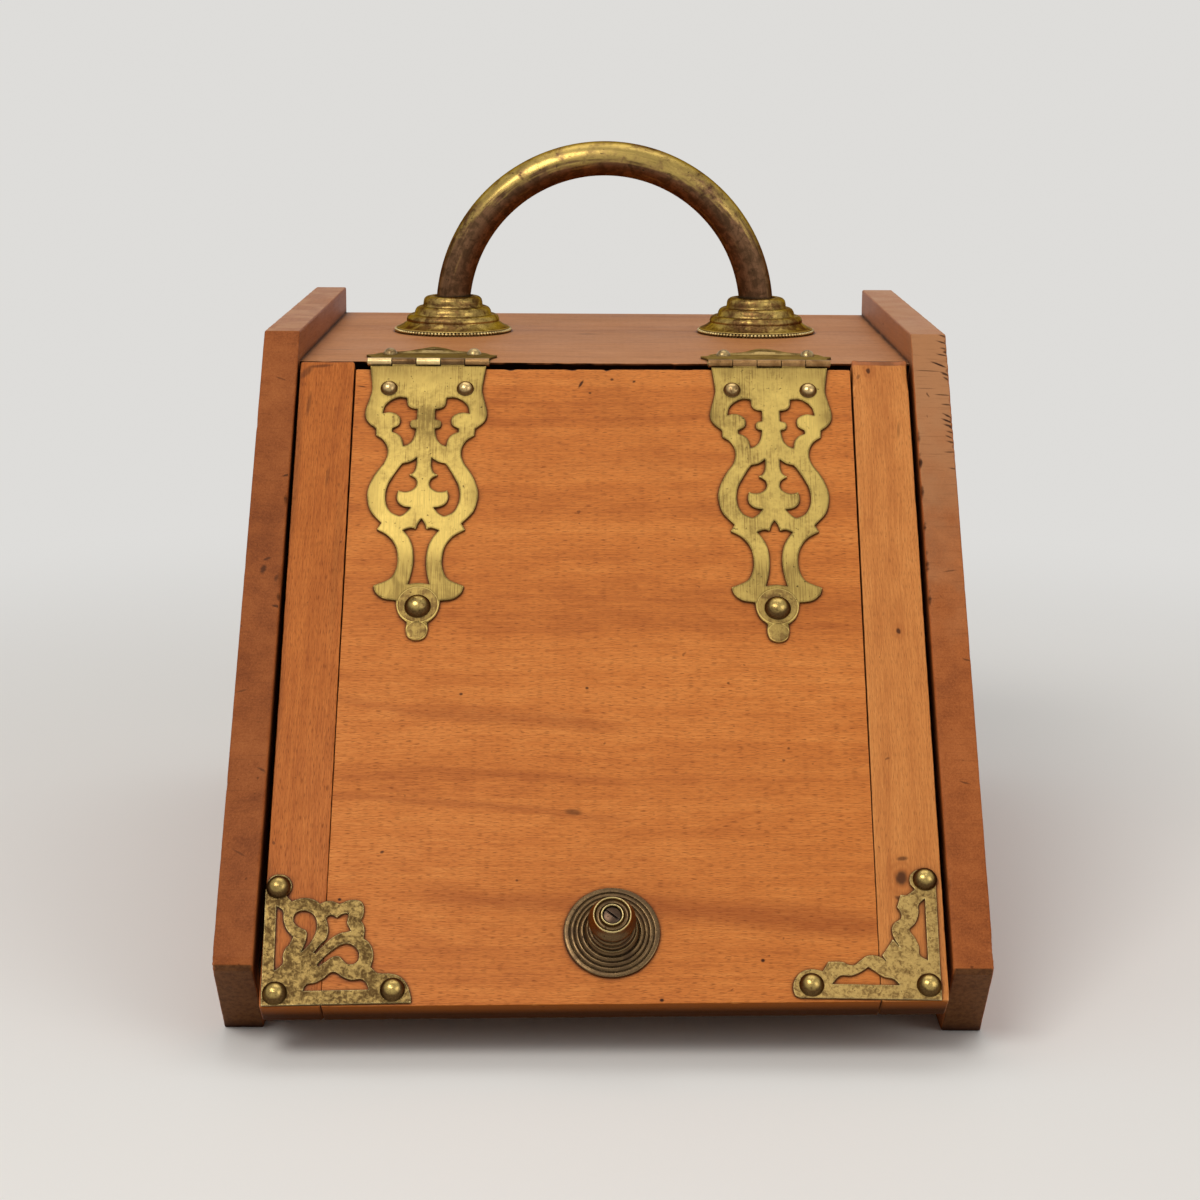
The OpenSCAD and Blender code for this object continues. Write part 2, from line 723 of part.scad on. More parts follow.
// Drawn 68 wide and 64.5 high, in [in from the side edge, up from the bottom
// edge]. The right mount has lost the scrolls between its two legs.
mount_left_rim = [
    [0, 0, 1], [0, 56, 1], [1, 61], [4, 64], [8.5, 63.8], [11.6, 61], [12, 57],
    [9.6, 53.6, 1], [12.4, 50.6, 1], [14.6, 51.6], [18.3, 52.3], [22.3, 51.4], [25.5, 49.2, 1],
    [28.2, 50.4], [31.4, 50.2], [34.4, 48.8, 1], [37.9, 50.4], [41.6, 50.8], [44.6, 49.5],
    [45.6, 46.4], [45.4, 43], [44.3, 40.5, 1], [45.7, 38.2], [46.1, 35], [45.7, 31.7, 1],
    [48.3, 29.4], [50, 25.9], [50.2, 21.7], [49.2, 17.7, 1], [52.5, 14.6], [58.5, 14.2],
    [63, 12.4], [66, 8.4], [67.6, 3], [67.6, 0, 1]
];
mount_left_holes = [
    [[5.4, 48.6, 1], [8.4, 46], [8.8, 41.4], [10.4, 36.8], [13.5, 33.1, 1], [12, 29.6],
     [9.9, 27], [9.1, 23.6], [9.2, 20], [5.4, 16.6, 1]],
    [[17.4, 25.5, 1], [18.7, 28.9], [19.7, 32.6], [19.4, 36], [16.4, 37.6], [14.1, 39.6],
     [13.4, 42.4], [14.6, 45], [17.8, 46], [21.2, 44.9], [23.5, 42.2], [24.2, 38.5],
     [23.6, 34.6], [21.8, 30.5], [19.4, 27.4]],
    [[23, 25.1, 1], [26.1, 29], [28.8, 32.2], [29.5, 36.8], [28.3, 42, 1], [30.4, 43.6],
     [33.3, 42.1, 1], [35.7, 43.8], [38.7, 44.2, 1], [37.9, 39.3, 1], [39.9, 35.4, 1],
     [34.9, 34.4], [31, 32], [27.2, 28.4], [24.2, 24.6, 1]],
    [[24.7, 19.3, 1], [27.5, 22.6], [31.2, 25.8], [35, 28.5], [38.6, 29.2], [41.8, 27.6],
     [43.6, 24.8], [43.6, 21.6], [41.8, 19.4], [38.9, 19.2], [36.9, 20.8], [34.6, 23.2],
     [31.6, 22.8], [28.6, 20.6], [25.4, 18.5, 1]],
    [[18.6, 6.8, 1], [20.4, 9.8], [24.2, 10.5], [28, 12.6], [30.9, 15.2], [33.5, 15.3],
     [36.5, 13.1], [40.4, 11.5], [44.8, 11.8], [47.2, 10], [48.6, 6.8, 1]]
];
mount_right_rim = [
    [0, 0, 1], [0, 56, 1], [1, 61], [4, 64], [8.5, 63.8], [11.6, 61], [12, 57],
    [9.7, 54, 1], [13.6, 50.8, 1], [16.6, 51.1, 1], [18.4, 44.9, 1], [16.9, 42.2],
    [16.9, 39.4], [20, 37], [21.2, 33.8], [20.4, 29.7], [17.9, 25.2, 1], [21, 29, 1],
    [23.2, 25.6, 1], [26.1, 21.1, 1], [24.3, 18.2, 1], [26.9, 20.2], [30, 21.1], [33.3, 20.6],
    [36.2, 18.4], [39, 16.2], [42, 16.4], [44.6, 17.6], [50.7, 17.6, 1], [53.4, 13, 1],
    [58.6, 13.8], [63.6, 12], [66.8, 7], [66.4, 1.6], [64, 0, 1]
];
mount_right_holes = [
    [[5.4, 49.6, 1], [8.4, 46.4], [8.7, 41.8], [10.4, 37.2], [13.2, 33.9], [11, 30.2],
     [9.2, 25.7], [9, 21.6], [5.4, 19, 1]],
    [[49.4, 6.8, 1], [45.6, 10.8], [40.6, 11], [36.3, 12.8], [32.6, 15.4, 1], [29.6, 13.2],
     [25.8, 10.6], [21.4, 9.6], [18.6, 6.8, 1]]
];

// Moves to the lid's lower corner: side is -1 on the left and 1 on the right.
module at_corner(side) {
    at = side < 0 ? mount_left_at : mount_right_at;
    translate([at[0], at[1], 0])
        rotate([0, 0, side < 0 ? mount_left_turn : mount_right_turn])
            mirror([side > 0 ? 1 : 0, 0, 0]) children();
}

module corner_mount(side, rim, holes) {
    color(brass_aged) difference() {
        on_face() at_corner(side) linear_extrude(mount_t) difference() {
            polygon(outline(stretch(rim, mount_fx, mount_fy)));
            for (hole = holes) polygon(outline(stretch(hole, mount_fx, mount_fy)));
        }
        on_face() corner_nail_spots() nail_hole(shank_l);
    }
}

module corner_mount_left() {
    corner_mount(-1, mount_left_rim, mount_left_holes);
}

module corner_mount_right() {
    corner_mount(1, mount_right_rim, mount_right_holes);
}

module corner_nail_spots() {
    for (side = [-1, 1], p = side < 0 ? mount_left_nails : mount_right_nails)
        at_corner(side) translate([p[0] * mount_fx, p[1] * mount_fy, mount_t]) children();
}

module corner_nails() {
    color(brass_aged) on_face() corner_nail_spots()
        dome_nail(large_dome_d, large_dome_h, shank_l);
}

// ---------------------------------------------------------------- the knob

knob_shank_d = 4;
knob_screw_in = 12;                 // depth of the screw in the lid
knob_bore = knob_shank_d + 2 * shank_gap;
knob_sink = 2.6;                    // depth of the screw head in the knob

module knob_spot() {
    translate([knob_x, -lid_len + knob_up, 0]) children();
}

// Half profile of a turned piece, [radius, height], around a bore
module turned(profile) {
    rotate_extrude() polygon(profile);
}

module knob_rose() {
    r = knob_rose_d / 2;
    t = knob_rose_t;
    b = knob_bore / 2;
    color(bronze_dark) on_face() knob_spot() turned([
        [b, 0], [r, 0], [r, 0.9], [r - 0.6, 1.4], [r - 2.6, 1.2], [r - 3, 0.9], [r - 3.4, 1.2],
        [r - 3.6, 1.9], [r - 4.8, 2.1], [r - 5.4, 1.7], [r - 5.8, 2.1], [r - 6, 2.9],
        [r - 7.4, 3.2], [r - 7.9, 2.8], [r - 8.3, 3.2], [r - 8.6, t - 0.2], [r - 9.8, t],
        [b, t]
    ]);
}

module knob() {
    t = knob_rose_t;
    h = knob_h;
    r = knob_head_d / 2;
    b = knob_bore / 2;
    s = knob_screw_d / 2 + shank_gap;
    color(bronze_dark) on_face() knob_spot() turned([
        [b, t], [r + 0.6, t], [r + 0.8, t + 0.8], [r + 0.2, t + 1.5], [r - 0.6, t + 1.6],
        [r - 0.5, t + 2.8], [r - 1, t + 3.8], [r - 1.8, t + 4], [r - 2.2, t + 5.4],
        [r - 2.8, t + 7.4], [r - 2.8, h - 6.8], [r - 2, h - 6], [r - 0.5, h - 5.4],
        [r, h - 4.6], [r - 0.2, h - 3.4], [r - 1.2, h - 1.2], [r - 1.8, h - 0.4],
        [r - 2.4, h - 0.5], [r - 2.8, h - 1.3], [r - 3.6, h - 1.4], [r - 4.2, h - 0.8],
        [r - 4.9, h - 0.7], [r - 5.4, h - 1.2], [r - 5.8, h - 0.4], [r - 6.2, h],
        [r - 6.7, h - 0.2], [s, h - 0.8], [s, h - knob_sink], [b, h - knob_sink]
    ]);
}

module knob_screw() {
    seat = knob_h - knob_sink;
    color(bronze_dark) on_face() knob_spot() difference() {
        union() {
            translate([0, 0, -knob_screw_in])
                cylinder(d = knob_shank_d, h = knob_screw_in + seat + 0.2, $fn = 32);
            intersection() {
                translate([0, 0, seat]) cylinder(d = knob_screw_d, h = 2.2);
                translate([0, 0, seat + 2 - 2 * knob_screw_d]) sphere(r = 2 * knob_screw_d);
            }
        }
        rotate([0, 0, -38]) translate([-knob_screw_d, -0.55, seat + 0.9])
            cube([2 * knob_screw_d, 1.1, 3]);
    }
}

// ------------------------------------------------------ the carrying handle

stud_gap = 0.2;
stud_flange_t = 2;
washer_d = 20;
washer_t = 1.6;
nut_af = 13;                        // width of the nut across its flats
nut_t = 6.5;
stud_tail = 2.5;                    // thread showing below the nut
grip_seat = grip_base - stud_flange_t;      // where the flange rests

module handle_spots() {
    for (side = [-1, 1]) translate([side * grip_span / 2, handle_y, board_z]) children();
}

module carry_handle() {
    color(brass_aged) translate([0, handle_y, board_z + grip_base]) rotate([90, 0, 0])
        rotate_extrude(angle = 180, $fn = 96) translate([grip_span / 2, 0]) difference() {
            circle(d = grip_d);
            circle(d = grip_d - 2 * grip_wall);
        }
}

// Stepped dome: a thin rim, three swelling rings and a rounded collar
module rose() {
    r = rose_d / 2;
    h = rose_h;
    b = stud_d / 2 + stud_gap;
    c = grip_d / 2 + 0.7;
    turned([
        [b, 0], [r, 0], [r, 0.7], [r - 0.8, 1.5], [r - 2, 1.5], [r - 2.6, 1.9],
        [r - 3.2, 3], [r - 4.6, 3.6], [r - 6, 3.7], [r - 6.4, 4.2], [r - 6.8, 5.6],
        [r - 7.6, 7.2], [r - 8.8, 8.2], [r - 9.6, 8.6], [r - 9.6, 9.4], [r - 10.6, 10],
        [r - 11.2, 11.4], [r - 12.4, 12.8], [r - 14, 13.6], [r - 15.4, 13.8],
        [r - 15.8, h - 5], [r - 16.6, h - 3], [r - 18, h - 1.2], [r - 20, h - 0.2],
        [r - 21.4, h], [c + 0.6, h - 0.4], [c, h - 1], [c, grip_seat], [b, grip_seat]
    ]);
}

module handle_rose_left() {
    color(brass_aged) translate([-grip_span / 2, handle_y, board_z]) rose();
}

module handle_rose_right() {
    color(brass_aged) translate([grip_span / 2, handle_y, board_z]) rose();
}

module handle_studs() {
    foot = top_t + washer_t + nut_t + stud_tail;
    plug_r = grip_d / 2 - grip_wall - 0.35;
    color(steel_dull) handle_spots() {
        translate([0, 0, grip_seat]) cylinder(d = grip_d, h = stud_flange_t);
        translate([0, 0, grip_base]) cylinder(r = plug_r, h = 5);
        translate([0, 0, -foot]) cylinder(d = stud_d, h = foot + grip_seat + 0.5);
    }
}

module handle_washers() {
    color(steel_dull) handle_spots() translate([0, 0, -top_t - washer_t]) difference() {
        cylinder(d = washer_d, h = washer_t);
        translate([0, 0, -1]) cylinder(d = stud_d + 2 * stud_gap, h = washer_t + 2);
    }
}

module handle_nuts() {
    color(steel_dull) handle_spots() translate([0, 0, -top_t - washer_t - nut_t]) difference() {
        cylinder(d = nut_af / cos(30), h = nut_t, $fn = 6);
        translate([0, 0, -1]) cylinder(d = stud_d + 2 * shank_gap, h = nut_t + 2);
    }
}

// --------------------------------------------------------------- the liner

liner_w = inner_w - 2 * liner_side_gap;
liner_back = back_y - back_t - liner_back_gap;
liner_top = bottom_top_z + liner_h;
function liner_slope(z) = lid_under(z) + liner_front_gap / cos(slope);
lip_z = bottom_top_z + liner_lip;
liner_front = liner_slope(lip_z);
liner_top_front = liner_slope(liner_top);
// Corners of the liner's side, from the back foot round to the front foot
liner_side = [
    [liner_back, bottom_top_z], [liner_back, liner_top], [liner_top_front, liner_top],
    [liner_front, lip_z], [liner_front, bottom_top_z]
];

module rim_run(a, b) {
    // A piece of the wired rim between two corners, with a ball at its end
    d = b - a;
    translate(a) sphere(d = rim_d + 0.6, $fn = 24);
    translate(a) rotate([0, acos(d[2] / norm(d)), atan2(d[1], d[0])])
        cylinder(d = rim_d, h = norm(d), $fn = 24);
}

module coal_liner() {
    h = liner_w / 2;
    t = liner_t;
    p = liner_side;
    rim = [for (i = [1 : 3]) [-h + t / 2, p[i][0], p[i][1]]];
    far = [for (i = [3 : -1 : 1]) [h - t / 2, p[i][0], p[i][1]]];
    loop = concat(rim, far);
    color(liner_black) difference() {
        union() {
            difference() {
                sideways(-h, h) polygon(p);
                sideways(-h + t, h - t) polygon([
                    [p[0][0] - t, p[0][1] + t], [p[1][0] - t, p[1][1] + 9],
                    [p[2][0] - 9, p[2][1] + 9], [p[3][0] - 9 * tan(slope) + t, p[3][1] + 9],
                    [p[3][0] + t, p[3][1]], [p[4][0] + t, p[4][1] + t]
                ]);
            }
            for (i = [0 : len(loop) - 1]) rim_run(loop[i], loop[(i + 1) % len(loop)]);
        }
        rivet_spots() rotate([90, 0, 0]) translate([0, 0, -5])
            cylinder(d = rivet_d + 2 * shank_gap, h = 10, $fn = 24);
    }
}

// The drop handle hangs in a rolled clip on the liner's back wall.
clip_w = 46;
clip_h = 17;
clip_t = 1.4;
clip_roll = drop_wire + 2 * clip_t + 0.3;   // outside diameter of the roll
drop_z = liner_top - 26;
wall_y = liner_back - liner_t;      // inner face of the back wall
drop_y = wall_y - clip_roll / 2;
rivet_d = 3;
rivet_head_d = 6;
rivet_head_h = 1.6;

module rivet_spots() {
    for (side = [-1, 1])
        translate([side * clip_w * 0.32, wall_y, drop_z + clip_roll / 2 + clip_h * 0.45])
            children();
}

module liner_clip() {
    color(liner_black) difference() {
        union() {
            translate([-clip_w / 2, wall_y - clip_t, drop_z])
                cube([clip_w, clip_t, clip_roll / 2 + clip_h]);
            translate([0, drop_y, drop_z]) bar_x(-clip_w / 2, clip_w / 2, clip_roll);
            translate([-clip_w / 2, drop_y, drop_z]) cube([clip_w, clip_roll / 2, clip_roll / 2]);
        }
        translate([0, drop_y, drop_z])
            bar_x(-clip_w / 2 - 1, clip_w / 2 + 1, drop_wire + 0.16);
        rivet_spots() rotate([90, 0, 0]) translate([0, 0, -5])
            cylinder(d = rivet_d + 2 * shank_gap, h = 10, $fn = 24);
    }
}

module liner_rivets() {
    color(steel_dull) rivet_spots() rotate([90, 0, 0]) {
        translate([0, 0, -liner_t]) cylinder(d = rivet_d, h = liner_t + clip_t + 0.4, $fn = 24);
        translate([0, 0, clip_t]) intersection() {
            cylinder(d = rivet_head_d, h = rivet_head_h);
            translate([0, 0, rivet_head_h - 3.6]) sphere(r = 3.6);
        }
        translate([0, 0, -liner_t - 1]) cylinder(d = rivet_head_d, h = 1);
    }
}

module liner_drop_handle() {
    // A closed wire bow: a straight top in the clip, two bends and a grip
    w = drop_w / 2 - drop_wire / 2;
    l = drop_l - drop_wire / 2;
    bend_r = 14;
    color(steel_dull) translate([0, drop_y, drop_z]) rotate([90, 0, 0]) {
        rotate([0, 0, 0]) translate([0, 0, 0]) {
            bar_x(-w + bend_r, w - bend_r, drop_wire);
            translate([0, -l, 0]) bar_x(-w + bend_r, w - bend_r, drop_wire);
            for (side = [-1, 1]) {
                translate([side * w, -l + bend_r, 0]) rotate([-90, 0, 0])
                    cylinder(d = drop_wire, h = l - 2 * bend_r);
                translate([side * (w - bend_r), -bend_r, 0])
                    rotate([0, 0, side > 0 ? 0 : 90]) wire_bend(bend_r);
                translate([side * (w - bend_r), -l + bend_r, 0])
                    rotate([0, 0, side > 0 ? -90 : 180]) wire_bend(bend_r);
            }
        }
    }
}

// A quarter turn of the wire
module wire_bend(r) {
    rotate_extrude(angle = 90) translate([r, 0]) circle(d = drop_wire, $fn = 24);
}

side_panel_left();
side_panel_right();
top_board();
back_board();
bottom_board();
carcass_nails();
lid_panel();
lid_clamp_left();
lid_clamp_right();
strap_left();
strap_right();
hinge_leaf_left();
hinge_leaf_right();
hinge_pin_left();
hinge_pin_right();
strap_nails();
strap_end_nails();
leaf_nails();
corner_mount_left();
corner_mount_right();
corner_nails();
knob_rose();
knob();
knob_screw();
carry_handle();
handle_rose_left();
handle_rose_right();
handle_studs();
handle_washers();
handle_nuts();
coal_liner();
liner_clip();
liner_rivets();
liner_drop_handle();
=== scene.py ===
"""Looks of the slope-front coal box: waxed wood, tarnished brass, black liner."""

import json
import math

import bmesh
import bpy
from mathutils import Matrix, Vector, noise

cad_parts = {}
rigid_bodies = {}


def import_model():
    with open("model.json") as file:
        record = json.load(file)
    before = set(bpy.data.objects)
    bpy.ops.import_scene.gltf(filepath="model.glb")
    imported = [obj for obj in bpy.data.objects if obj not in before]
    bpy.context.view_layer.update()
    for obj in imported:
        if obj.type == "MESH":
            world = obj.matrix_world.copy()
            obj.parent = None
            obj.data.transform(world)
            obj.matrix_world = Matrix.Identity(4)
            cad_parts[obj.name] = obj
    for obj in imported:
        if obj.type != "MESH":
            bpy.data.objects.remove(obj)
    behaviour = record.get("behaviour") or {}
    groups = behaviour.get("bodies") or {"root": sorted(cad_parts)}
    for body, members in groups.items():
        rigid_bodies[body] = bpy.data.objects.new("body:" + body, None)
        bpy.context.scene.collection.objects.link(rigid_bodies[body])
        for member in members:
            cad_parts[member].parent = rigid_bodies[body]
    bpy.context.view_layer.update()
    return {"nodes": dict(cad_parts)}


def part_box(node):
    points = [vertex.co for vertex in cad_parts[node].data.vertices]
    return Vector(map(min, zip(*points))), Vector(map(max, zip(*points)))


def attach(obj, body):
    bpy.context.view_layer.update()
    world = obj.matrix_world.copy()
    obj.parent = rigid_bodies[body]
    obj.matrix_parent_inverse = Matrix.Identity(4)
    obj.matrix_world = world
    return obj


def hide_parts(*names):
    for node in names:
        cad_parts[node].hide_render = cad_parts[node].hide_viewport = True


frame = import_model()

MM = 0.001
nodes = frame["nodes"]

# ---------------------------------------------------------------- the sizes
# In millimetres, as in the construction model.
CASE_W, CASE_D, SIDE_H, SIDE_T = 355.0, 490.0, 306.0, 18.5
SIDE_TOP_D, NOSE_H, FOOT_BACK = 254.0, 43.0, 35.0
BOARD_Z, TOP_T = 290.5, 17.0
LID_T, LID_LEN, LID_GAP, LID_INSET = 16.5, 351.5, 2.5, 3.0
LID_SLANT, LID_LEAN = math.radians(0.85), 1.3
STRAP_T, MOUNT_T = 1.3, 1.2
INNER_W = CASE_W - 2 * SIDE_T
LID_W = INNER_W - 2 * LID_GAP
SLOPE = math.atan((CASE_D - SIDE_TOP_D) / (SIDE_H - NOSE_H))
COS, SIN, TAN = math.cos(SLOPE), math.sin(SLOPE), math.tan(SLOPE)
BACK_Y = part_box("side_panel_left")[1][1] / MM
NOSE_Y = BACK_Y - CASE_D
TOP_FRONT_Y = BACK_Y - SIDE_TOP_D
FACE_Y = TOP_FRONT_Y - (SIDE_H - BOARD_Z) * TAN + LID_INSET / COS
AXIS_S = STRAP_T / 2 * (1 - SIN) / COS
AXIS_Y, AXIS_Z = FACE_Y - AXIS_S, BOARD_Z + STRAP_T / 2
TOP_EDGE_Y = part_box("top_board")[0][1] / MM
HANDLE_Y, HANDLE_Z, HANDLE_R = AXIS_Y + 160, BOARD_Z + 11.4, 87.5
HINGES = (65 - LID_W / 2, LID_W / 2 - 71.5)


def on_face(x, s, v):
    """x across the lid, s up the slope from the hinge line, v out of its face."""
    return Vector((x, FACE_Y + s * SIN - v * COS, BOARD_Z + s * COS + v * SIN)) * MM


def upright(x, y, z):
    return Vector((x, y, z)) * MM


def foot_s(x):
    """The lower end of the lid."""
    return -LID_LEN + x * math.tan(LID_SLANT)


def wave(x, y=0.0, z=0.0):
    return noise.noise(Vector((x, y, z)))


def share_of(value):
    """Kept within 0..1."""
    return max(0.0, min(1.0, value))


# ------------------------------------------------------------ making meshes
CORNER_STEPS, ARRIS_STEPS, CURVE_STEPS = 4, 4, 5


def add_object(name, data):
    obj = bpy.data.objects.new(name, data)
    bpy.context.scene.collection.objects.link(obj)
    return obj


def turn_outward(mesh, merge=0.0):
    """Points nearer than merge become one, and the faces look outward."""
    bm = bmesh.new()
    bm.from_mesh(mesh)
    if merge:
        bmesh.ops.remove_doubles(bm, verts=bm.verts, dist=merge)
    bmesh.ops.recalc_face_normals(bm, faces=bm.faces)
    bm.to_mesh(mesh)
    bm.free()


def new_object(name, verts, faces, material, smooth=True, weight=None):
    """weight is that of its weighted normals."""
    mesh = bpy.data.meshes.new(name)
    mesh.from_pydata([tuple(v) for v in verts], [], faces)
    mesh.validate()
    turn_outward(mesh)
    mesh.materials.append(material)
    mesh.polygons.foreach_set("use_smooth", [smooth] * len(mesh.polygons))
    obj = add_object(name, mesh)
    if weight:
        obj.modifiers.new("weighted", "WEIGHTED_NORMAL").weight = weight
    return obj


def resample(points, step, corner_r):
    """A closed outline with small round corners, cut into short steps: its
    points, outward normals, length so far, and room for a worn arris."""
    pts = [Vector(p) for p in points]
    area = sum(a.x * b.y - b.x * a.y for a, b in zip(pts, pts[1:] + pts[:1]))
    if area < 0:
        pts.reverse()
    n = len(pts)

    def corner(i):
        """The start, middle and end of the round corner at a point."""
        a, p, b = pts[i - 1], pts[i % n], pts[(i + 1) % n]
        u, w = (a - p).normalized(), (b - p).normalized()
        half = math.acos(max(-1, min(1, u.dot(w)))) / 2
        back = corner_r / math.tan(half)
        mid = p + (u + w).normalized() * (corner_r / math.sin(half))
        return p + u * back, mid, p + w * back

    out, room = [], []
    for i in range(n):
        start, mid, end = corner(i)
        for k in range(CORNER_STEPS + 1):
            q = start.lerp(end, k / CORNER_STEPS)
            out.append(mid + (q - mid).normalized() * corner_r)
            room.append(0.9 * corner_r)
        stop = corner((i + 1) % n)[0]
        length = (stop - end).length
        cuts = max(1, int(length / step))
        for k in range(1, cuts):
            out.append(end.lerp(stop, k / cuts))
            room.append(0.9 * corner_r + 0.85 * length * min(k, cuts - k) / cuts)
    m = len(out)
    normals, along, total = [], [], 0.0
    for i in range(m):
        t = (out[(i + 1) % m] - out[i - 1]).normalized()
        normals.append(Vector((t.y, -t.x)))
        along.append(total)
        total += (out[(i + 1) % m] - out[i]).length
    return out, normals, along, room


def worn_board(name, outline, low, high, place, material, arris=1.0, wear=0.35,
               nicks=(), step=2.5, corner_r=1.2, seed=0, shape=None):
    """A board with worn arrises: outline is in the plane, low..high its
    thickness. A nick is (side, x, y, size, length) near a point of the
    outline, and may have a tint, -1 dark to 1 light, and a share of its size
    as its depth, for a straight bevel."""
    pts, normals, along, room = resample(outline, step, corner_r)
    n = len(pts)

    def worn(i, side):
        """How far the wear reaches in and down, 1 for a bevel, and the tint."""
        t = along[i]
        r = arris * (1 + wear * wave(t / 9.0, seed, side * 7.3)
                     + 0.6 * wear * wave(t / 2.6, seed + 5, side * 3.1))
        chip, tint, bevel, depth = 0.0, 0.0, 0.0, 1.0
        ragged = 0.75 + 0.5 * wave(t / 1.3, seed + 9, side)
        for nick_side, x, y, size, length, *more in nicks:
            d = (pts[i] - Vector((x, y))).length / length
            if nick_side != side or d >= 1:
                continue
            shade, share = (*more, *(0, None)[len(more):])
            if share is None:
                grow = size * ((1 - d * d) ** 1.5 * ragged)
            else:
                grow = size * (min(1, 4 * (1 - d)) * (0.85 + 0.3 * ragged * (1 - share)))
                bevel, depth = 1.0, share
            chip += grow
            tint += grow / arris * shade
        reach = min(max(r + chip, 0.25 * arris), room[i])
        return reach, reach * depth, bevel, max(-1, min(1, tint))

    rings, tints = [], []
    for side, face, sign in ((0, low, 1), (1, high, -1)):
        group = []
        spots = [worn(i, side) for i in range(n)]
        for k in range(ARRIS_STEPS + 1):
            a, flat = math.pi / 2 * k / ARRIS_STEPS, k / ARRIS_STEPS
            ring, tint = [], []
            for i, (reach, deep, bevel, shade) in enumerate(spots):
                inward = reach * ((1 - math.sin(a)) * (1 - bevel) + (1 - flat) * bevel)
                down = deep * ((1 - math.cos(a)) * (1 - bevel) + flat * bevel)
                p = pts[i] - normals[i] * inward
                ring.append((p.x, p.y, face + sign * down))
                tint.append(shade if 0 < k < ARRIS_STEPS else 0.25 * shade)
            group.append((ring, tint))
        for ring, tint in (group if side == 0 else group[::-1]):
            rings.append(ring)
            tints += tint
    verts = [v for ring in rings for v in ring]
    if shape:
        verts = [shape(*v) for v in verts]
    faces = [tuple(range(n)), tuple(range((len(rings) - 1) * n, len(rings) * n))[::-1]]
    for k in range(len(rings) - 1):
        for i in range(n):
            j = (i + 1) % n
            faces.append((k * n + i, k * n + j, (k + 1) * n + j, (k + 1) * n + i))
    obj = new_object(name, [place(*v) for v in verts], faces, material, weight=80)
    obj.data.attributes.new("worn", "FLOAT", "POINT").data.foreach_set("value", tints)
    return obj


def lathe(name, profile, centre, place, material, steps=128, wobble=0.0, seed=0):
    """A turned piece. The profile is [radius, height]; place maps to the frame.
    An end on the axis gets a cap, and ends off it are joined by a bore."""
    verts, faces = [], []
    m = len(profile)
    capped = min(profile[0][0], profile[-1][0]) < 0.2
    for k in range(steps):
        c, s = math.cos(2 * math.pi * k / steps), math.sin(2 * math.pi * k / steps)
        for r, h in profile:
            w = 1 + wobble * wave(c * 2, s * 2, h / 4 + seed)
            verts.append(place(centre[0] + r * w * c, centre[1] + r * w * s, h))
        q = (k + 1) % steps
        for i in range(m - 1 if capped else m):
            j = (i + 1) % m
            faces.append((k * m + i, k * m + j, q * m + j, q * m + i))
    if capped:
        faces.append([k * m for k in range(steps)])
        faces.append([k * m + m - 1 for k in reversed(range(steps))])
    return new_object(name, verts, faces, material)


def bend(a, b, c, d, t):
    """A point on the smooth curve from b to c, with neighbours a and d."""
    return tuple(0.5 * (2 * q + (r - p) * t + (2 * p - 5 * q + 4 * r - s) * t * t
                        + (3 * q - p - 3 * r + s) * t ** 3)
                 for p, q, r, s in zip(a[:2], b, c, d))


def smooth_profile(points, per=4):
    """A rounder profile through the given points: a third value marks a crease."""
    out = []
    n = len(points)
    for i in range(n - 1):
        b, c = points[i], points[i + 1]
        a = points[i - 1] if i and len(b) < 3 else b
        d = points[i + 2] if i + 2 < n and len(c) < 3 else c
        out += [bend(a, b, c, d, k / per) for k in range(per)]
    return out + [points[-1][:2]]


def closed_curve(points):
    """A closed outline through given points; a third value marks a corner."""
    out = []
    n = len(points)
    for i in range(n):
        b, c = points[i], points[(i + 1) % n]
        sharp_b, sharp_c = len(b) > 2, len(c) > 2
        a = [2 * b[j] - c[j] for j in (0, 1)] if sharp_b else points[i - 1]
        d = [2 * c[j] - b[j] for j in (0, 1)] if sharp_c else points[(i + 2) % n]
        steps = 1 if sharp_b and sharp_c else CURVE_STEPS
        out += [bend(a, b, c, d, k / steps) for k in range(steps)]
    return out


def plate(name, loops, thick, place, material, bevel=0.32, ripple=0.0, seed=0):
    """A sawn sheet plate with filed edges: the first loop is its outline and
    the others are its piercings. It rests on height 0 of its place."""
    curve = bpy.data.curves.new(name, "CURVE")
    curve.dimensions, curve.fill_mode = "2D", "BOTH"
    curve.extrude, curve.offset = thick / 2 - bevel, -bevel
    curve.bevel_depth, curve.bevel_resolution = bevel, 2
    for loop in map(closed_curve, loops):
        spline = curve.splines.new("POLY")
        spline.points.add(len(loop) - 1)
        for point, (x, y) in zip(spline.points, loop):
            point.co = (x, y, 0, 1)
        spline.use_cyclic_u = True
    temp = add_object(name, curve)
    bpy.context.view_layer.update()
    graph = bpy.context.evaluated_depsgraph_get()
    made = bpy.data.meshes.new_from_object(temp.evaluated_get(graph))
    verts = []
    for x, y, z in (v.co for v in made.vertices):
        rise = ripple * wave(x / 14, y / 14, seed) if z > 0 else 0
        verts.append(place(x, y, z + thick / 2 + rise))
    faces = [tuple(p.vertices) for p in made.polygons]
    bpy.data.objects.remove(temp)
    bpy.data.curves.remove(curve)
    bpy.data.meshes.remove(made)
    obj = new_object(name, verts, faces, material, weight=60)
    turn_outward(obj.data, merge=1e-6)
    return obj


def joined(name, objs):
    """Several objects as one, with one name."""
    for o in bpy.context.view_layer.objects:
        o.select_set(o in objs)
    first = objs[0]
    bpy.context.view_layer.objects.active = first
    bpy.ops.object.join()
    first.name = first.data.name = name
    return first


def settle(obj, body, slot, *replaced):
    """Puts a finished piece on its body, in the place of CAD nodes."""
    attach(obj, body)
    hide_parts(*replaced)


# ------------------------------------------------------------- the materials

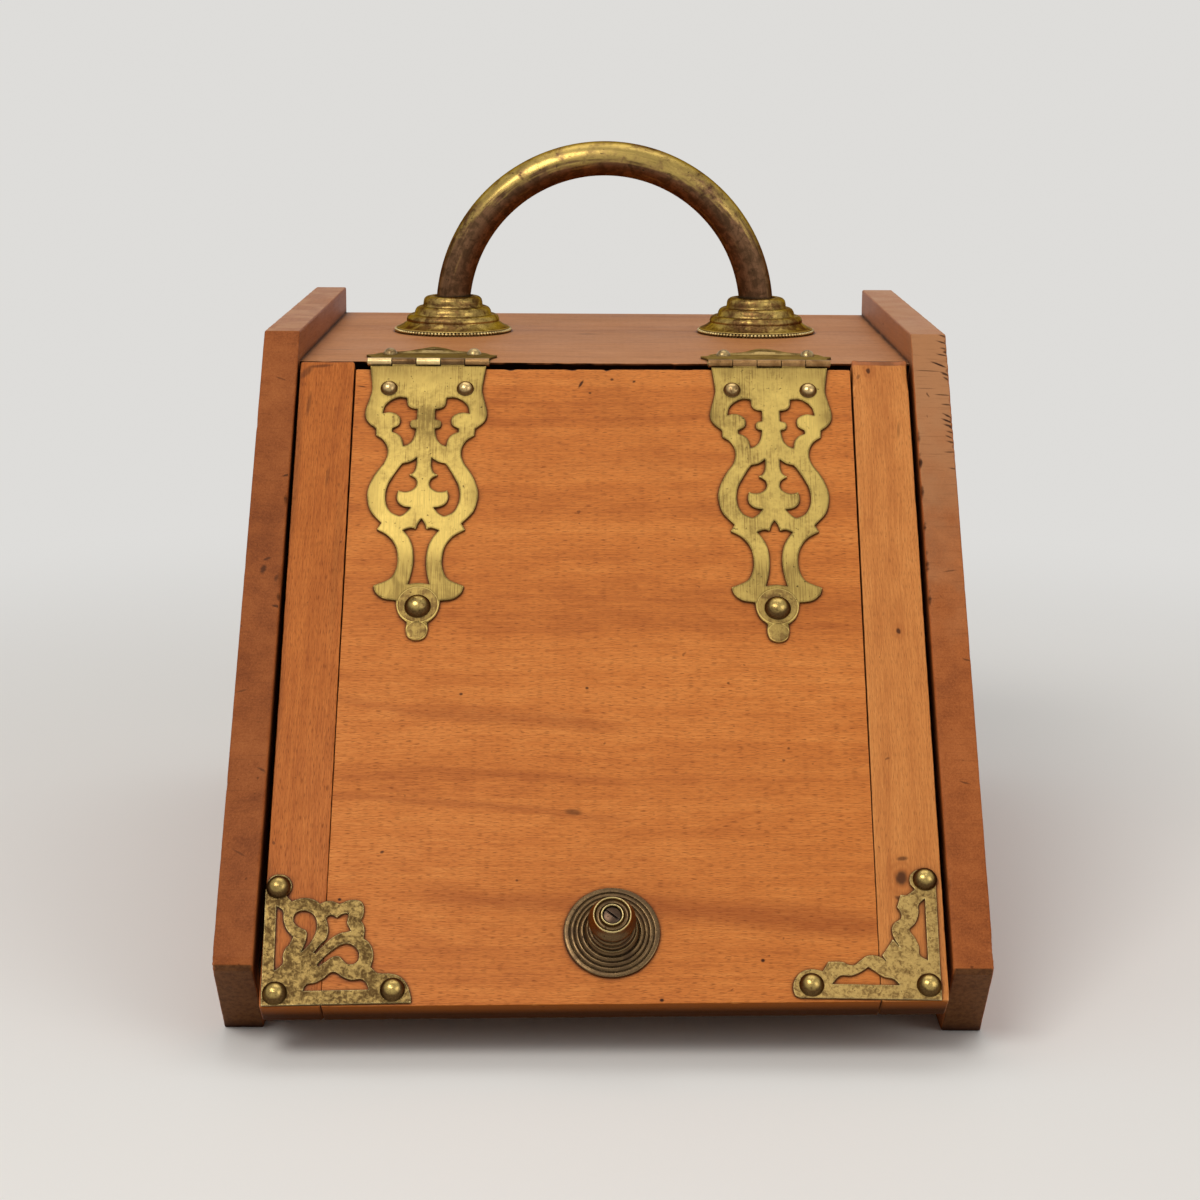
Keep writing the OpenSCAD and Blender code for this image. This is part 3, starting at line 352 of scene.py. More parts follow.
class Value:
    """A shader socket that adds a node when it is reckoned with."""

    def __init__(self, shade, socket):
        self.shade, self.socket = shade, socket

    def math(self, op, *others):
        node = self.shade.add("Math", self, *others)
        node.operation = op
        return Value(self.shade, node.outputs[0])

    def __mul__(self, other):
        return self.math("MULTIPLY", other)

    def __add__(self, other):
        return self.math("ADD", other)

    def __sub__(self, other):
        return self.math("SUBTRACT", other)

    def scaled(self, factor, plus):
        return self.math("MULTIPLY_ADD", factor, plus)

    def most(self, other):
        return self.math("MAXIMUM", other)

    def size(self):
        return self.math("ABSOLUTE")

    def to(self, a, b, low=0.0, high=1.0, kind="SMOOTHSTEP"):
        """The range a..b spread to low..high, and clamped there."""
        node = self.shade.add("MapRange", self, a, b, low, high)
        node.interpolation_type, node.clamp = kind, True
        return Value(self.shade, node.outputs[0])


class Shade:
    """A material in the making: it adds and wires shader nodes."""

    def __init__(self, name):
        self.mat = bpy.data.materials.new(name)
        self.mat.use_nodes = True
        self.tree = self.mat.node_tree
        self.tree.nodes.clear()
        self.out, self.bsdf = self.add("OutputMaterial"), self.add("BsdfPrincipled")
        self.tree.links.new(self.bsdf.outputs[0], self.out.inputs[0])
        coords = self.add("TexCoord").outputs
        self.pos, self.normal = Value(self, coords["Object"]), Value(self, coords["Normal"])
        self.colour = None

    def add(self, kind, *values):
        node = self.tree.nodes.new("ShaderNode" + kind)
        for socket, value in zip(node.inputs, values):
            self.put(socket, value)
        return node

    def put(self, socket, value):
        if isinstance(value, Value):
            self.tree.links.new(value.socket, socket)
        elif isinstance(value, tuple) and socket.type == "RGBA":
            socket.default_value = (*value, 1)
        else:
            socket.default_value = value

    def fill(self, node, inputs):
        """Sets inputs of a node by their names."""
        for name, value in inputs.items():
            self.put(node.inputs[name], value)
        return node

    def finish(self, inputs):
        self.fill(self.bsdf, inputs)

    def vec(self, op, a, b=(0, 0, 0)):
        node = self.add("VectorMath", a, b)
        node.operation = op
        number = op in ("LENGTH", "DISTANCE", "DOT_PRODUCT")
        return Value(self, node.outputs["Value" if number else "Vector"])

    def split(self, v):
        return [Value(self, socket) for socket in self.add("SeparateXYZ", v).outputs]

    def merge(self, x, y, z):
        return Value(self, self.add("CombineXYZ", x, y, z).outputs[0])

    def on_lid(self):
        """x, s and v of the lid, in metres."""
        node = self.fill(self.add("Mapping", self.pos), {
            "Rotation": (SLOPE - math.pi / 2, 0, 0),
            "Location": (0, -(FACE_Y * SIN + BOARD_Z * COS) * MM,
                         (FACE_Y * COS - BOARD_Z * SIN) * MM)})
        return self.split(Value(self, node.outputs[0]))

    def noise(self, v, scale, detail=2.0, rough=0.5, warp=0.0):
        """scale may be one number or three, for stretched noise."""
        if isinstance(scale, tuple):
            v, scale = self.vec("MULTIPLY", v, scale), 1.0
        node = self.fill(self.add("TexNoise", v), {
            "Scale": scale, "Detail": detail, "Roughness": rough, "Distortion": warp})
        return Value(self, node.outputs["Fac"])

    def ramp(self, x, *colours):
        node = self.add("ValToRGB", x)
        stops = node.color_ramp.elements
        while len(stops) < len(colours):
            stops.new(0.5)
        for k, (stop, colour) in enumerate(zip(stops, colours)):
            stop.position, stop.color = k / (len(colours) - 1), (*colour, 1)
        return Value(self, node.outputs[0])

    def mix(self, share, a, b):
        node = self.add("Mix")
        node.data_type = "RGBA"
        for i, value in ((0, share), (6, a), (7, b)):
            self.put(node.inputs[i], value)
        return Value(self, node.outputs[2])

    def paint(self, share, colour):
        """Lays a colour over what the surface has so far."""
        self.colour = self.mix(share, self.colour, colour)

    def near(self, distance, inside=False):
        """1 in the open and lower in hollows; with inside, lower near arrises."""
        node = self.fill(self.add("AmbientOcclusion"), {"Distance": distance})
        node.inside, node.samples, node.only_local = inside, 8, inside
        return Value(self, node.outputs["AO"])

    def bump(self, height, distance, strength):
        node = self.fill(self.add("Bump"), {
            "Strength": strength, "Distance": distance, "Height": height})
        self.finish({"Normal": Value(self, node.outputs[0])})

    def total(self, first, *others):
        """The sum of (value, factor) pairs."""
        out = first[0] * first[1]
        for value, factor in others:
            out = value.scaled(factor, out)
        return out

    def spot(self, x, s, at_x, at_s, half_l, half_w, lean=0.0):
        """1 in the middle of a small leaning ellipse, 0 outside it."""
        rel = self.vec("SUBTRACT", self.merge(x, s, 0.0), (at_x * MM, at_s * MM, 0.0))
        c, t = math.cos(lean), math.sin(lean)
        a = self.vec("DOT_PRODUCT", rel, (c / half_l / MM, t / half_l / MM, 0))
        b = self.vec("DOT_PRODUCT", rel, (-t / half_w / MM, c / half_w / MM, 0))
        return self.vec("LENGTH", self.merge(a, b, 0.0)).to(1.0, 0.35)

    def facing(self, direction, a=0.55, b=0.9):
        """1 where the surface faces a direction of the frame."""
        return self.vec("DOT_PRODUCT", self.normal, direction).to(a, b)


def darker(colour, k):
    return tuple(k * c for c in colour)


def paler(colour, k, plus):
    return tuple(min(1, k * c + plus) for c in colour)


# Whose axes the grain follows (the lid's or the frame's), and their order:
# along, across and through the grain.
GRAIN = {"across the lid": (True, 0, 1, 2), "down the lid": (True, 1, 0, 2),
         "x": (False, 0, 1, 2), "y": (False, 1, 2, 0)}


def wood(name, grain, light, mid, dark, seed=0.0, bands=(), spots=(), knots=(), pores=0.5,
         rough=0.44, coat=0.03, contrast=1.0, wear=0.5, over=None, streak=0.2, gloss=0.14):
    """Waxed wood. Bands, spots and knots are placed in the lid's own x and s:
    a band has two ends, a width and a strength, a spot its middle, two half
    lengths, how it leans and its strength, and a knot its middle and size."""
    sh = Shade(name)
    of_lid, *order = GRAIN[grain]
    axes = sh.on_lid() if of_lid else sh.split(sh.pos)
    g, c, d = (axes[i] for i in order)
    base = sh.merge(g + seed, c + seed * 0.7, d)
    slow, wavy = sh.noise(base, (2.2, 9, 9)), sh.noise(base, (8, 30, 30))
    v = sh.merge(g + seed, sh.total((c, 1.0), (slow, 0.026), (wavy, 0.005)), d)
    broad = sh.noise(v, (1.0, 30, 20), 3, 0.55)
    rings = sh.noise(v, (1.6, 190, 120))
    mottle = sh.noise(v, (42, 95, 80), 3, 0.6)
    streaks = sh.noise(v, (9, 1000, 800), 3, 0.66)
    fibre = sh.noise(v, (75, 1500, 1200), 3, 0.66)
    pore_mask = sh.noise(v, (260, 4200, 4200), 1, 0.4).to(0.44, 0.33, 0.0, pores)
    weights = (0.42, 0.16, 0.22, streak, 0.34)
    figure = sh.total(*zip((broad, rings, mottle, streaks, fibre), weights))
    middle, reach = sum(weights) / 2, 0.22 / contrast
    sh.colour = sh.ramp(figure.to(middle - reach, middle + reach, kind="LINEAR"), light, mid, dark)
    x, s, height = sh.on_lid()
    drift = sh.total((wavy, 0.010), (mottle, 0.004))
    for x0, s0, x1, s1, width, depth in bands:
        k = (s1 - s0) / (x1 - x0)
        off = (x.scaled(-k, s) + drift - ((s0 - k * x0) * MM + 0.007)).size()
        mask = off.to(width * MM, 0.0) * depth
        mask *= x.to((x0 - 26) * MM, (x0 + 10) * MM)
        mask *= x.to((x1 + 26) * MM, (x1 - 10) * MM)
        sh.paint(mask * fibre.to(0.3, 0.6, 0.7, 1.0), dark)
    sh.paint(pore_mask, darker(dark, 0.55))
    for at_x, at_s, size in knots:
        off = sh.vec("DISTANCE", sh.merge(mottle.scaled(0.006, x), s * 0.7, 0.0),
                     (at_x * MM + 0.003, at_s * MM * 0.7, 0.0))
        swirl = (off * 2600.0).math("SINE").scaled(0.18, 0.55)
        sh.paint(off.to(size * 3.0 * MM, size * 0.8 * MM) * swirl, dark)
        sh.paint(off.to(size * MM, size * 0.45 * MM, 0.0, 0.92), darker(dark, 0.16))
    for *where, depth in spots:
        sh.paint(sh.spot(x, s, *where) * depth, darker(dark, 0.13))
    grimy = sh.noise(base, (60, 60, 60), 3)
    if over:
        over(sh, x, s, height, grimy)
    # Grime and painted shade in the corners, grime and painted shadow along
    # the metal, rubbed arrises, chips and nicks
    corner_grime_and_shade = sh.near(0.0065).to(0.90, 0.30) * grimy.to(0.25, 0.6, 0.6, 1.0)
    sh.paint(corner_grime_and_shade * 0.7, darker(dark, 0.2))
    # Painted shadow, with grime, close along the metal and in joints
    contact_grime_and_shadow = sh.near(0.0024).to(0.97, 0.62) * grimy.to(0.25, 0.6, 0.35, 0.8)
    sh.paint(contact_grime_and_shadow, darker(dark, 0.15))
    arris = sh.near(0.0016, inside=True).to(0.80, 0.35)
    pale = paler(light, 1.3, 0.02)
    sh.paint(arris * grimy.to(0.42, 0.62, 0.0, wear), pale)
    attribute = sh.add("Attribute")
    attribute.attribute_name = "worn"
    worn = Value(sh, attribute.outputs["Fac"])
    sh.paint(worn.to(0.1, 0.9, 0.0, 0.75), pale)
    sh.paint(worn.to(-0.1, -0.9, 0.0, 0.92), darker(dark, 0.12))
    speck = sh.noise(base, (170, 210, 210))
    sh.paint(speck.to(0.725, 0.78, 0.0, 0.6), darker(dark, 0.3))
    smear = sh.noise(base, (14, 22, 22), 3)
    sh.finish({"Base Color": sh.colour, "Roughness": sh.total(
        (smear, 0.20), (pore_mask, 0.20), (fibre, 0.10)) + (rough - 0.13),
        "Specular IOR Level": gloss, "Coat Weight": coat, "Coat Roughness": 0.25})
    sh.bump(sh.total((fibre, 0.12), (pore_mask, -0.45), (sh.noise(base, (70, 90, 90)), 0.8),
                     (speck.to(0.72, 0.80), -0.8)), 0.0002, 0.5)
    return sh.mat


CRUST = (0.040, 0.024, 0.010)


def brass(name, tone, deep, crust=CRUST, amount=0.5, rough=0.38, brushed=None, grain=90.0,
          seed=0.0, under=None, bright=0.5, rim=1.0, edge=0.0, hollows=0.0026, shine=None,
          cloud=0.55, variety=0.0, glance=(1, 1, 1)):
    """Tarnished brass: deep is the patina and crust the grime in the hollows.
    The arrises are paler by bright, in shine: rubbed brass with a painted
    highlight. Edge darkens them with patina and painted shade. Glance is
    its tint at grazing angles, which paints a darker reflection there."""
    sh = Shade(name)
    p = sh.vec("ADD", sh.pos, (seed, seed * 0.6, 0.0))
    blotch = sh.noise(p, grain, 4, 0.62, 0.6)
    fine = sh.noise(p, grain * 7, 3, 0.6)
    veil = sh.noise(p, grain * 0.3, 3)
    lines = brushed(sh) if brushed else fine
    centre = 0.60 + 0.16 * (0.5 - amount)
    tarnish = sh.total((blotch, cloud), (fine, 0.14), (veil, 0.32), (lines, 0.71 - cloud))
    tarnish = tarnish.to(centre - 0.09, centre + 0.11)
    # under adds more tarnish; the strap's also adds painted shade under its knuckles
    if under:
        tarnish = tarnish.most(under(sh, blotch, lines))
    stroke = lines.to(0.35, 0.65)
    patina = sh.mix(fine.scaled(0.5, stroke * 0.5), darker(deep, 0.65), darker(deep, 1.45))
    if variety:
        patch = sh.noise(p, grain * 2.6, 4, 0.65, 0.5)
        patina = sh.mix(patch.to(0.40, 0.60, 0.0, variety), patina, darker(deep, 0.30))
        patina = sh.mix(lines.to(0.60, 0.74, 0.0, 0.7 * variety), patina, darker(tone, 0.8))
    sh.colour = sh.mix(tarnish, sh.mix(stroke, darker(tone, 0.80), darker(tone, 1.10)), patina)
    hollow = sh.near(hollows).to(0.88, 0.40) * fine.to(0.2, 0.6, 0.7, 1.0)
    sh.paint(hollow * rim, crust)
    inner = sh.near(0.0011, inside=True)
    # Darker along the edges: patina with painted shade
    if edge:
        sh.paint(inner.to(0.99, 0.72, 0.0, edge) * blotch.to(0.3, 0.6, 0.5, 1.0),
                 darker(deep, 0.55))
    # Paler arrises: rubbed brass with a painted highlight
    sh.paint(inner.to(0.70, 0.50, 0.0, bright), shine or paler(tone, 1.2, 0.03))
    pitted = sh.noise(p, 560).to(0.68, 0.75, 0.0, 0.8)
    sh.paint(pitted, crust)
    # glance tints the reflection darker at grazing angles: a painted darker reflection
    sh.finish({"Base Color": sh.colour, "Metallic": 1.0, "Specular Tint": glance,
               "Roughness": sh.total((tarnish, 0.16), (fine, 0.14), (hollow, 0.25))
               + (rough - 0.07)})
    sh.bump(sh.total((lines, 0.35), (blotch, 0.55), (pitted, -0.5)), 0.00016, 0.55)
    return sh.mat


def strokes_on_lid(sh):
    """Brush strokes along the strap."""
    return sh.noise(sh.merge(*sh.on_lid()), (1500, 45, 1500), 3, 0.65)


def round_handle(sh):
    """The angle and the radius about the middle of the bent handle, y and z."""
    x, y, z = sh.split(sh.pos)
    up = z - HANDLE_Z * MM
    return up.math("ARCTAN2", x), sh.vec("LENGTH", sh.merge(x, up, 0.0)), y, z


def strokes_round(sh):
    """Streaks along the bent tube of the handle."""
    angle, radius, y, z = round_handle(sh)
    return sh.noise(sh.merge(angle * 2.6, radius * 420.0, y * 420.0), 1.0, 4, 0.62)


def low_and_inside(sh, blotch, lines):
    """More tarnish low on the handle and on its inner side, in long streaks."""
    angle, radius, y, z = round_handle(sh)
    radius = sh.total((radius, 1.0), (blotch, 0.012), (lines, 0.014))
    return (radius + z.to(0.386, 0.318, 0.0, -0.0125)).to(0.1040, 0.0975, 0.0, 0.97)


def plain(name, colour, other, rough, metallic=0.0, scale=60.0, coat=0.0, amount=0.5):
    """Painted, blackened or plain metal with worn and dusty patches."""
    sh = Shade(name)
    blotch = sh.noise(sh.pos, scale, 4, 0.6, 0.4)
    fine = sh.noise(sh.pos, scale * 9, 3, 0.6)
    mask = sh.total((blotch, 0.75), (fine, 0.25)).to(0.62 - 0.2 * amount, 0.80 - 0.2 * amount)
    mask = mask.most(sh.near(0.0012, inside=True).to(0.75, 0.40, 0.0, 0.6))
    sh.finish({"Base Color": sh.mix(mask, colour, other), "Metallic": metallic,
               "Roughness": mask.scaled(0.25, rough), "Coat Weight": coat})
    sh.bump(sh.total((blotch, 0.6), (fine, 0.4)), 0.0002, 0.6)
    return sh.mat


# The finishes, with the marks of the real boards in the lid's own x and s.
ON_LID, UPWARD, LID_END = (0, -COS, SIN), (0, 0, 1), (0, -SIN, -COS)
END_GRAIN = (0.230, 0.062, 0.008)


def lid_ends(top=0.0, top_colour=None):
    """Dark end grain and painted shade at the lower end of the lid, and its top end's own tone."""

    def over(sh, x, s, v, grimy):
        # The lower end darkens from its front arris towards the back: end grain with painted shade
        tone = sh.mix(v.to(-0.001, -0.0115), END_GRAIN, darker(END_GRAIN, 0.14))
        sh.paint(sh.facing(LID_END, 0.35, 0.85) * 0.97, tone)
        if top:
            proud = grimy.scaled(0.0016, s).to(0.0006, 0.0014)
            head = sh.facing((0, SIN, COS), 0.18, 0.5).most(proud) * top
            sh.paint(head, sh.mix(grimy.to(0.4, 0.6), top_colour, darker(top_colour, 0.45)))
    return over


# Cuts in the sloping edges of the side panels: the distance down the slope,
# the two ends in x, how the cut leans, its half width and its depth.
HEAD_S = (SIDE_H - BOARD_Z) / COS
LEFT_CUTS = (
    (147, -170.0, -166.5, 1.35, 1.5, 0.75), (141, -167.5, -166.0, 0.4, 0.8, 0.7),
    (152, -162.5, -160.5, 1.3, 0.9, 0.6), (33, -169, -165, -0.4, 0.5, 0.5),
    (92, -161.5, -159.5, 0.3, 0.7, 0.8), (168, -161.8, -159.5, -0.2, 0.8, 0.8),
    (215, -176, -172, 0.3, 0.5, 0.5), (257, -163, -160, -0.5, 0.6, 0.6),
    (300, -172, -166, -0.5, 0.5, 0.5))
RIGHT_CUTS = (
    (4, 174.5, 177.5, -0.4, 0.6, 0.8), (8, 173.0, 177.5, -0.35, 0.5, 0.9),
    (12, 175.0, 177.5, -0.3, 0.6, 0.7), (16, 172.2, 177.5, -0.25, 0.45, 0.9),
    (22, 169.0, 176.5, -0.46, 0.65, 1.0), (26, 159.5, 174.0, -0.06, 0.35, 0.65),
    (28, 173.5, 177.5, -0.5, 0.7, 0.9), (31, 175.0, 177.5, -0.6, 0.6, 0.8),
    (37, 159.5, 170.0, -0.03, 0.30, 0.45), (41, 169.5, 177.5, -0.08, 0.40, 0.8),
    (41, 165.3, 166.3, -1.2, 0.45, 0.7), (47, 173.0, 177.5, -0.1, 0.5, 0.8),
    (54, 173.0, 177.5, -0.6, 0.6, 0.9), (57, 172.5, 177.5, -0.45, 0.6, 1.0),
    (60, 173.5, 177.5, -0.35, 0.7, 0.9), (64, 175.0, 177.5, -0.3, 0.6, 0.8),
    (67, 174.0, 177.5, -0.5, 0.5, 0.8), (70, 174.5, 177.5, -0.3, 0.6, 0.8),
    (76, 173.0, 177.5, 0.0, 0.40, 0.8), (86, 175.0, 177.5, -0.2, 0.5, 0.7),
    (78, 158.6, 159.8, 0.9, 0.8, 0.5), (100, 158.4, 159.4, 0.8, 1.4, 0.6),
    (118, 158.6, 160.0, -0.6, 0.7, 0.5), (136, 158.4, 159.6, 0.8, 1.2, 0.6),
    (146, 168.0, 173.0, 0.15, 0.4, 0.6), (158, 158.6, 159.6, 0.8, 1.0, 0.5),
    (196, 174.0, 177.5, -0.3, 0.5, 0.6), (262, 168.5, 172.0, -0.3, 0.5, 0.6))


def side_over(tan, cuts):
    """Fine saw lines and cuts across the sloping edge, a paler tan on the
    top faces, a dark undercut foot, and a tan head where tan is more than 0."""

    def over(sh, x, s, v, grimy):
        z = sh.split(sh.pos)[2]
        lines = sh.noise(sh.pos, (60, 900, 1100), 3, 0.7)
        slope_edge = sh.facing(ON_LID, 0.7, 0.95)
        if tan:
            rubbed = slope_edge.most(z.to(0.283, 0.296, 0.0, 0.45))
            sh.paint(rubbed * grimy.scaled(0.1, z).to(0.20, 0.34, 0, tan),
                     (0.450, 0.220, 0.098))
        sh.paint(slope_edge * lines.to(0.52, 0.74, 0.0, 0.28), (0.095, 0.026, 0.007))
        top_tan = grimy.to(0.40, 0.60, 0.45, 0.9)
        # A paler tan on the faces that point up
        sh.paint(sh.facing(UPWARD, 0.75, 0.95) * top_tan, (0.460, 0.225, 0.108))
        marks, at = 0.0, lines.scaled(0.002, x)
        for down, x0, x1, lean, half_w, depth in cuts:
            mask = sh.spot(at, s, (x0 + x1) / 2 + 1.0, HEAD_S - down,
                           (x1 - x0) / 2 + 1.8, 1.35 * half_w, lean)
            marks = (mask * depth).most(marks)
        sh.paint(slope_edge * marks, (0.040, 0.013, 0.005))
        speck = sh.noise(sh.pos, 420, 4, 0.7)
        sh.paint(sh.facing((0, -0.775, -0.632)),
                 sh.mix(speck.to(0.36, 0.68), (0.150, 0.058, 0.018), (0.088, 0.031, 0.008)))
    return over


def top_over(sh, x, s, v, grimy):
    """Painted shade, near black, in the undercut over the lid, a crack and a few marks."""
    px, py = sh.split(sh.pos)[:2]
    at = grimy.scaled(0.002, px)
    for *where, depth in (
            (-142.5, 46.9, 12, 0.9, 0.05, 0.85), (21.0, 20.3, 15, 0.8, 0.05, 0.5),
            (-8.8, 132.8, 8, 2.4, 0.05, 0.6), (60, 120, 30, 2.0, 0.0, 0.35)):
        sh.paint(sh.spot(at, py, *where) * depth, (0.030, 0.014, 0.009))
    # Painted shade: the undercut face, which turns down to the lid, laid near black
    sh.paint(sh.facing(LID_END, 0.3, 0.7), (0.006, 0.003, 0.002))


panel_wood = wood(
    "panel_wood", "across the lid", (0.760, 0.278, 0.062), (0.585, 0.178, 0.033),
    (0.345, 0.082, 0.014), seed=0.31, pores=0.7, over=lid_ends(), contrast=1.12,
    bands=((-75.7, -203.5, -1.8, -211.1, 7, 0.55), (-126.8, -197.3, -75.6, -206.2, 4, 0.40),
           (-93.6, -234.5, -1.7, -239.3, 3.5, 0.42), (-124.2, -247.3, -1.7, -257.5, 3.5, 0.50),
           (16.9, -303.0, 122.4, -312.4, 11, 0.75), (-70, -299, 20, -302, 8, 0.60),
           (-60, -64, 60, -60, 8, 0.16), (-110, -150, 40, -152, 9, 0.14)),
    spots=((-12.4, -12.5, 3.6, 1.0, 1.1, 0.95), (3.6, -9.6, 1.3, 1.1, 0, 0.85),
           (-7.7, -18.1, 1.1, 0.9, 0, 0.8), (15.0, -10.8, 1.3, 0.9, 0.6, 0.85),
           (-103, -277, 1.4, 1.0, 0.4, 0.85), (-68.8, -193.7, 1.3, 1.0, 0, 0.85),
           (-8.2, -190.1, 1.2, 1.0, 0, 0.85), (72.8, -330.0, 1.3, 1.2, 0, 1.0),
           (26.6, -349.4, 1.4, 1.2, 0, 1.0), (-121.5, -301.0, 1.2, 1.1, 0, 1.0),
           (-14.3, -256, 5.5, 2.2, -0.1, 0.6), (-125.4, -14.7, 3.2, 0.6, -0.16, 0.8),
           (60, -187, 1.0, 0.8, 0, 0.7), (88, -222, 0.9, 0.9, 0, 0.7),
           (-40, -291, 0.9, 0.8, 0, 0.7)))
clamp_left_wood = wood(
    "clamp_left_wood", "down the lid", (0.600, 0.185, 0.034), (0.440, 0.118, 0.018),
    (0.240, 0.050, 0.008), seed=1.7, pores=0.6, contrast=1.35, streak=0.25,
    over=lid_ends(0.9, (0.20, 0.06, 0.02)),
    # The long spots that lean 1.57 lie along the clamp's edges: painted shade darkening its sides
    spots=((-154.5, -6, 7, 2.6, 0.9, 0.5), (-147, -2, 8, 1.3, 0.1, 0.55),
           (-152, -26, 10, 1.4, 1.5, 0.45), (-140, -70, 9, 1.2, 1.5, 0.35),
           (-158, -70, 70, 5.0, 1.57, 0.32), (-158, -200, 90, 4.5, 1.57, 0.30),
           (-157, -310, 45, 6.0, 1.57, 0.30), (-133, -120, 60, 3.0, 1.57, 0.15)))
clamp_right_wood = wood(
    "clamp_right_wood", "down the lid", (0.760, 0.325, 0.092), (0.620, 0.228, 0.055),
    (0.400, 0.115, 0.024), seed=2.9, contrast=1.05, over=lid_ends(0.85, (0.42, 0.13, 0.042)),
    knots=((137.9, -288.8, 3.4), (144.0, -157.7, 1.5), (137.3, -3.4, 1.6)),
    spots=((131, -7, 2.2, 1.2, 1.2, 0.5), (150, -40, 7, 0.9, 1.5, 0.35),
           (139, -279, 3.6, 1.5, 0.1, 0.7), (136.5, -299, 3.0, 1.4, -0.4, 0.7)))
side_woods = [
    wood("side_wood_" + name, "y", darker((0.430, 0.135, 0.036), k),
         darker((0.320, 0.090, 0.022), k), darker((0.170, 0.041, 0.010), k), seed=seed, pores=0.3,
         rough=0.48, coat=0.0, gloss=0.10, wear=0.8, contrast=1.15, over=side_over(tan, cuts))
    for name, k, seed, tan, cuts in (("left", 0.95, 4.1, 0.0, LEFT_CUTS),
                                     ("right", 1.15, 8.8, 0.8, RIGHT_CUTS))]
top_wood = wood("top_wood", "x", (0.560, 0.245, 0.090), (0.460, 0.185, 0.062),
                (0.270, 0.090, 0.026), seed=5.3, pores=0.35, rough=0.50, coat=0.0, gloss=0.10,
                over=top_over)
inner_wood = wood("inner_wood", "x", (0.330, 0.200, 0.105), (0.260, 0.145, 0.070),
                  (0.150, 0.075, 0.035), seed=6.7, rough=0.62, coat=0.0)


def strap_tarnish(sh, blotch, lines):
    """Darker at the head of the strap, tarnish with painted shade under its
    knuckles, on its shoulders and bows, and at its foot.
    """
    x, s, v = sh.on_lid()
    middle, half_way = (HINGES[0] + HINGES[1]) / 2 * MM, (HINGES[1] - HINGES[0]) / 2 * MM
    off = ((x - middle).size() - half_way).size()
    shoulder = off.to(0.019, 0.029, 0.0, 0.9) * s.to(-0.046, -0.034)
    bow = off.to(0.019, 0.027, 0.0, 0.6) * s.to(-0.060, -0.068)
    # The head darkens towards the knuckles, tarnish with painted shade under them; the foot is
    # tarnish
    ends = s.to(-0.022, -0.004, 0.0, 0.85).most(s.to(-0.108, -0.126, 0.0, 0.95))
    ragged = sh.total((blotch, 0.35), (lines, 0.65)).to(0.38, 0.60, 0.30, 1.0)
    return ends.most(shoulder.most(bow)) * ragged


def dome_skirt(direction, bright=0.93, dark=0.70):
    """The patina of a dome nail: bright on top, dark round its skirt."""

    def under(sh, blotch, lines):
        top = blotch.scaled(0.16, sh.vec("DOT_PRODUCT", sh.normal, direction))
        return top.to(bright + 0.08, dark + 0.08)
    return under


strap_brass = brass("strap_brass", (0.630, 0.452, 0.126), (0.200, 0.130, 0.038), amount=0.42,
                    rough=0.42, brushed=strokes_on_lid, grain=70, bright=0.6,
                    under=strap_tarnish, edge=0.9, cloud=0.26, hollows=0.0036)
lug_brass = brass("lug_brass", (0.410, 0.280, 0.082), (0.140, 0.080, 0.028), amount=0.62,
                  rough=0.40, brushed=strokes_on_lid, grain=190, seed=0.7, bright=0.0, cloud=0.40)
rolls = {name: brass("roll_" + name, (r, g, b), (0.5 * r, 0.45 * g, 0.4 * b), amount=amount,
                     grain=150, seed=4.4, bright=0.4)
         for name, r, g, b, amount in (
             ("pale", 0.720, 0.520, 0.250, 0.2), ("dark", 0.170, 0.095, 0.040, 0.5),
             ("bright", 0.860, 0.640, 0.300, 0.1), ("middle", 0.340, 0.190, 0.075, 0.4))}
# The left copy is darker by k: painted shade. amount is each one's tarnish.
mount_brasses = {
    name: brass("mount_brass_" + name, darker((0.470, 0.315, 0.105), k),
                darker((0.155, 0.088, 0.030), k), amount=amount, grain=520, seed=seed, bright=1.0,
                edge=0.2, shine=(0.640, 0.510, 0.230), variety=0.3)
    for name, k, amount, seed in (("left", 0.52, 0.72, 3.0), ("right", 0.97, 0.52, 3.6))}
leaf_brasses = [
    brass("leaf_brass_" + name, darker((0.270, 0.190, 0.066), k), darker((0.120, 0.076, 0.028), k),
          amount=0.60, rough=0.50, grain=130, seed=1.3, bright=1.0, glance=(0.50, 0.36, 0.15))
    for name, k in (("left", 0.95), ("right", 1.40))]
lid_nail_brass = brass("lid_nail_brass", (0.520, 0.365, 0.118), (0.105, 0.060, 0.022),
                       amount=0.38, rough=0.24, grain=210, seed=2.2, bright=0.1,
                       under=dome_skirt(ON_LID), glance=(0.35, 0.25, 0.12))
small_dome = brass("small_dome", (0.640, 0.450, 0.200), (0.150, 0.082, 0.032), amount=0.30,
                   rough=0.25, grain=190, seed=8.3, bright=0.1,
                   under=dome_skirt(ON_LID, 0.90, 0.62), glance=(0.35, 0.25, 0.12))
top_nail_brass = brass("top_nail_brass", (0.520, 0.380, 0.170), (0.150, 0.090, 0.040),
                       amount=0.45, rough=0.30, grain=190, seed=2.9, bright=0.1,
                       under=dome_skirt(UPWARD, 0.45, 0.05))
rose_brass = brass("rose_brass", (0.520, 0.360, 0.105), (0.160, 0.080, 0.030),
                   (0.032, 0.016, 0.007), amount=0.68, rough=0.28, grain=150, seed=5.2,
                   bright=0.6, hollows=0.0046, variety=0.6, glance=(0.45, 0.34, 0.17))
bead_brass = brass("bead_brass", (0.620, 0.470, 0.200), (0.250, 0.160, 0.060), amount=0.3,
                   rough=0.3, grain=150, bright=0.0, rim=0.6, hollows=0.0008)
